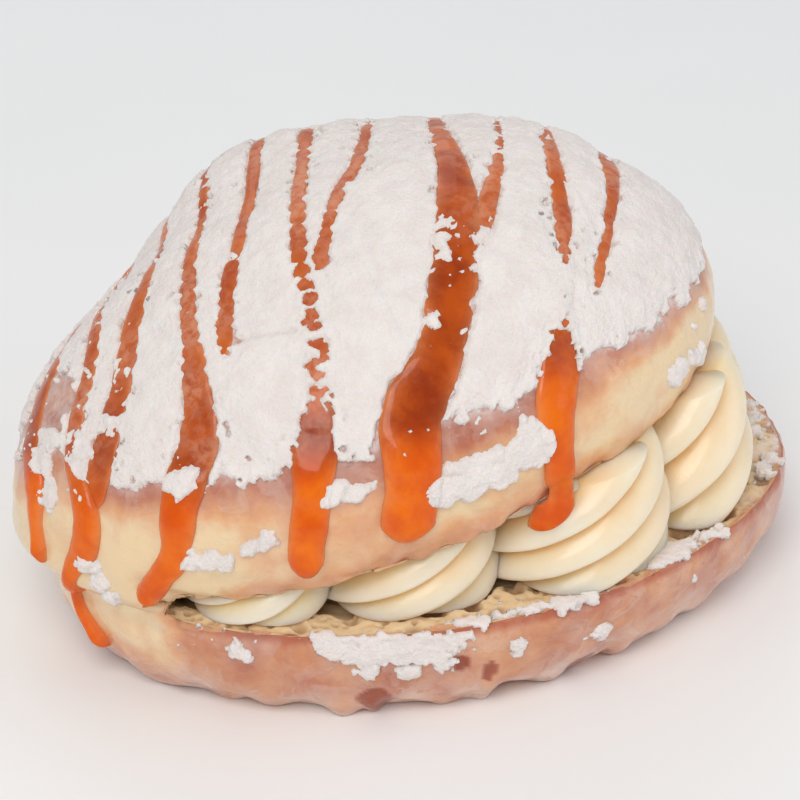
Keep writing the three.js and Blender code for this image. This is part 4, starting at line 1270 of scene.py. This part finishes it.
stage = {
    "floorSize": 3.0, "floor": tint(246, 246, 246), "floorLight": tint(250, 250, 250),
    "world": tint(240, 242, 245), "worldStrength": 0.51,
    # name, place in metres, size, power, colour
    "lamps": (("keyLamp", (-0.35, -0.5, 0.75), 0.5, 4.3, (1.0, 0.98, 0.95)),
              ("fillLamp", (0.75, -0.45, 0.45), 0.7, 1.6, (0.95, 0.97, 1.0)),
              ("rimLamp", (0.1, 0.75, 0.65), 0.6, 1.2, (1, 1, 1))),
    "lookAt": (0, 0, 0.03), "floorBlotches": (3.0, 0.3, 0.7),
}
view = {
    "azimuth": -21.74, "elevation": 30.0, "distance": 410.65, "targetX": 2.9, "targetZ": 28.65,
    "lens": 123.6, "sensor": 36, "near": 0.01, "shiftX": -0.02725, "shiftY": -0.00275,
}


# A pale floor under the doughnut.
def makeFloor():
    half = stage["floorSize"] / 2
    mesh = bpy.data.meshes.new("floor")
    corners = [(-half, -half, 0), (half, -half, 0), (half, half, 0), (-half, half, 0)]
    mesh.from_pydata(corners, [], [(0, 1, 2, 3)])
    floor = bpy.data.objects.new("floor", mesh)
    bpy.context.scene.collection.objects.link(floor)
    material, tree, shader, place = startMaterial("floorPaint", Roughness=0.8)
    tone = maskOf(tree, place, *stage["floorBlotches"])
    feed(tree, shader.inputs["Base Color"], mixColour(tree, tone, stage["floor"], stage["floorLight"]))
    mesh.materials.append(material)


# A square lamp of that size and power, at a place, turned to look at the doughnut.
def addLamp(name, place, size, power, colour):
    lamp = bpy.data.lights.new(name, "AREA")
    lamp.size, lamp.energy, lamp.color = size, power, colour
    holder = bpy.data.objects.new(name, lamp)
    holder.location = place
    holder.rotation_euler = lookAt(np.array(place), np.array(stage["lookAt"]))
    bpy.context.scene.collection.objects.link(holder)


# The turn of a camera or lamp at one point that looks at another, with no roll.
def lookAt(place, target):
    x, y, z = target - place
    return (np.arctan2(np.hypot(x, y), -z), 0, np.arctan2(y, x) - np.pi / 2)


# The camera at the photograph's angle: its distance back from the target along azimuth and elevation.
def makeCamera():
    a, e = np.radians(view["azimuth"]), np.radians(view["elevation"])
    back = np.array([np.sin(a) * np.cos(e), -np.cos(a) * np.cos(e), np.sin(e)])
    target = np.array([view["targetX"], 0, view["targetZ"]]) * mm
    place = target + back * view["distance"] * mm
    lens = bpy.data.cameras.new("camera")
    lens.lens, lens.sensor_width, lens.clip_start = view["lens"], view["sensor"], view["near"]
    lens.shift_x, lens.shift_y = view["shiftX"], view["shiftY"]
    camera = bpy.data.objects.new("camera", lens)
    camera.location = place
    camera.rotation_euler = lookAt(place, target)
    bpy.context.scene.collection.objects.link(camera)
    bpy.context.scene.camera = camera


# An even pale sky.
def makeWorld():
    world = bpy.data.worlds.new("studio")
    world.use_nodes = True
    sky = world.node_tree.nodes["Background"]
    sky.inputs["Color"].default_value = stage["world"]
    sky.inputs["Strength"].default_value = stage["worldStrength"]
    bpy.context.scene.world = world


bpy.context.scene.view_settings.view_transform = "Standard"
makeFloor()
makeWorld()
for lamp in stage["lamps"]:
    addLamp(*lamp)
makeCamera()
print("stage made")
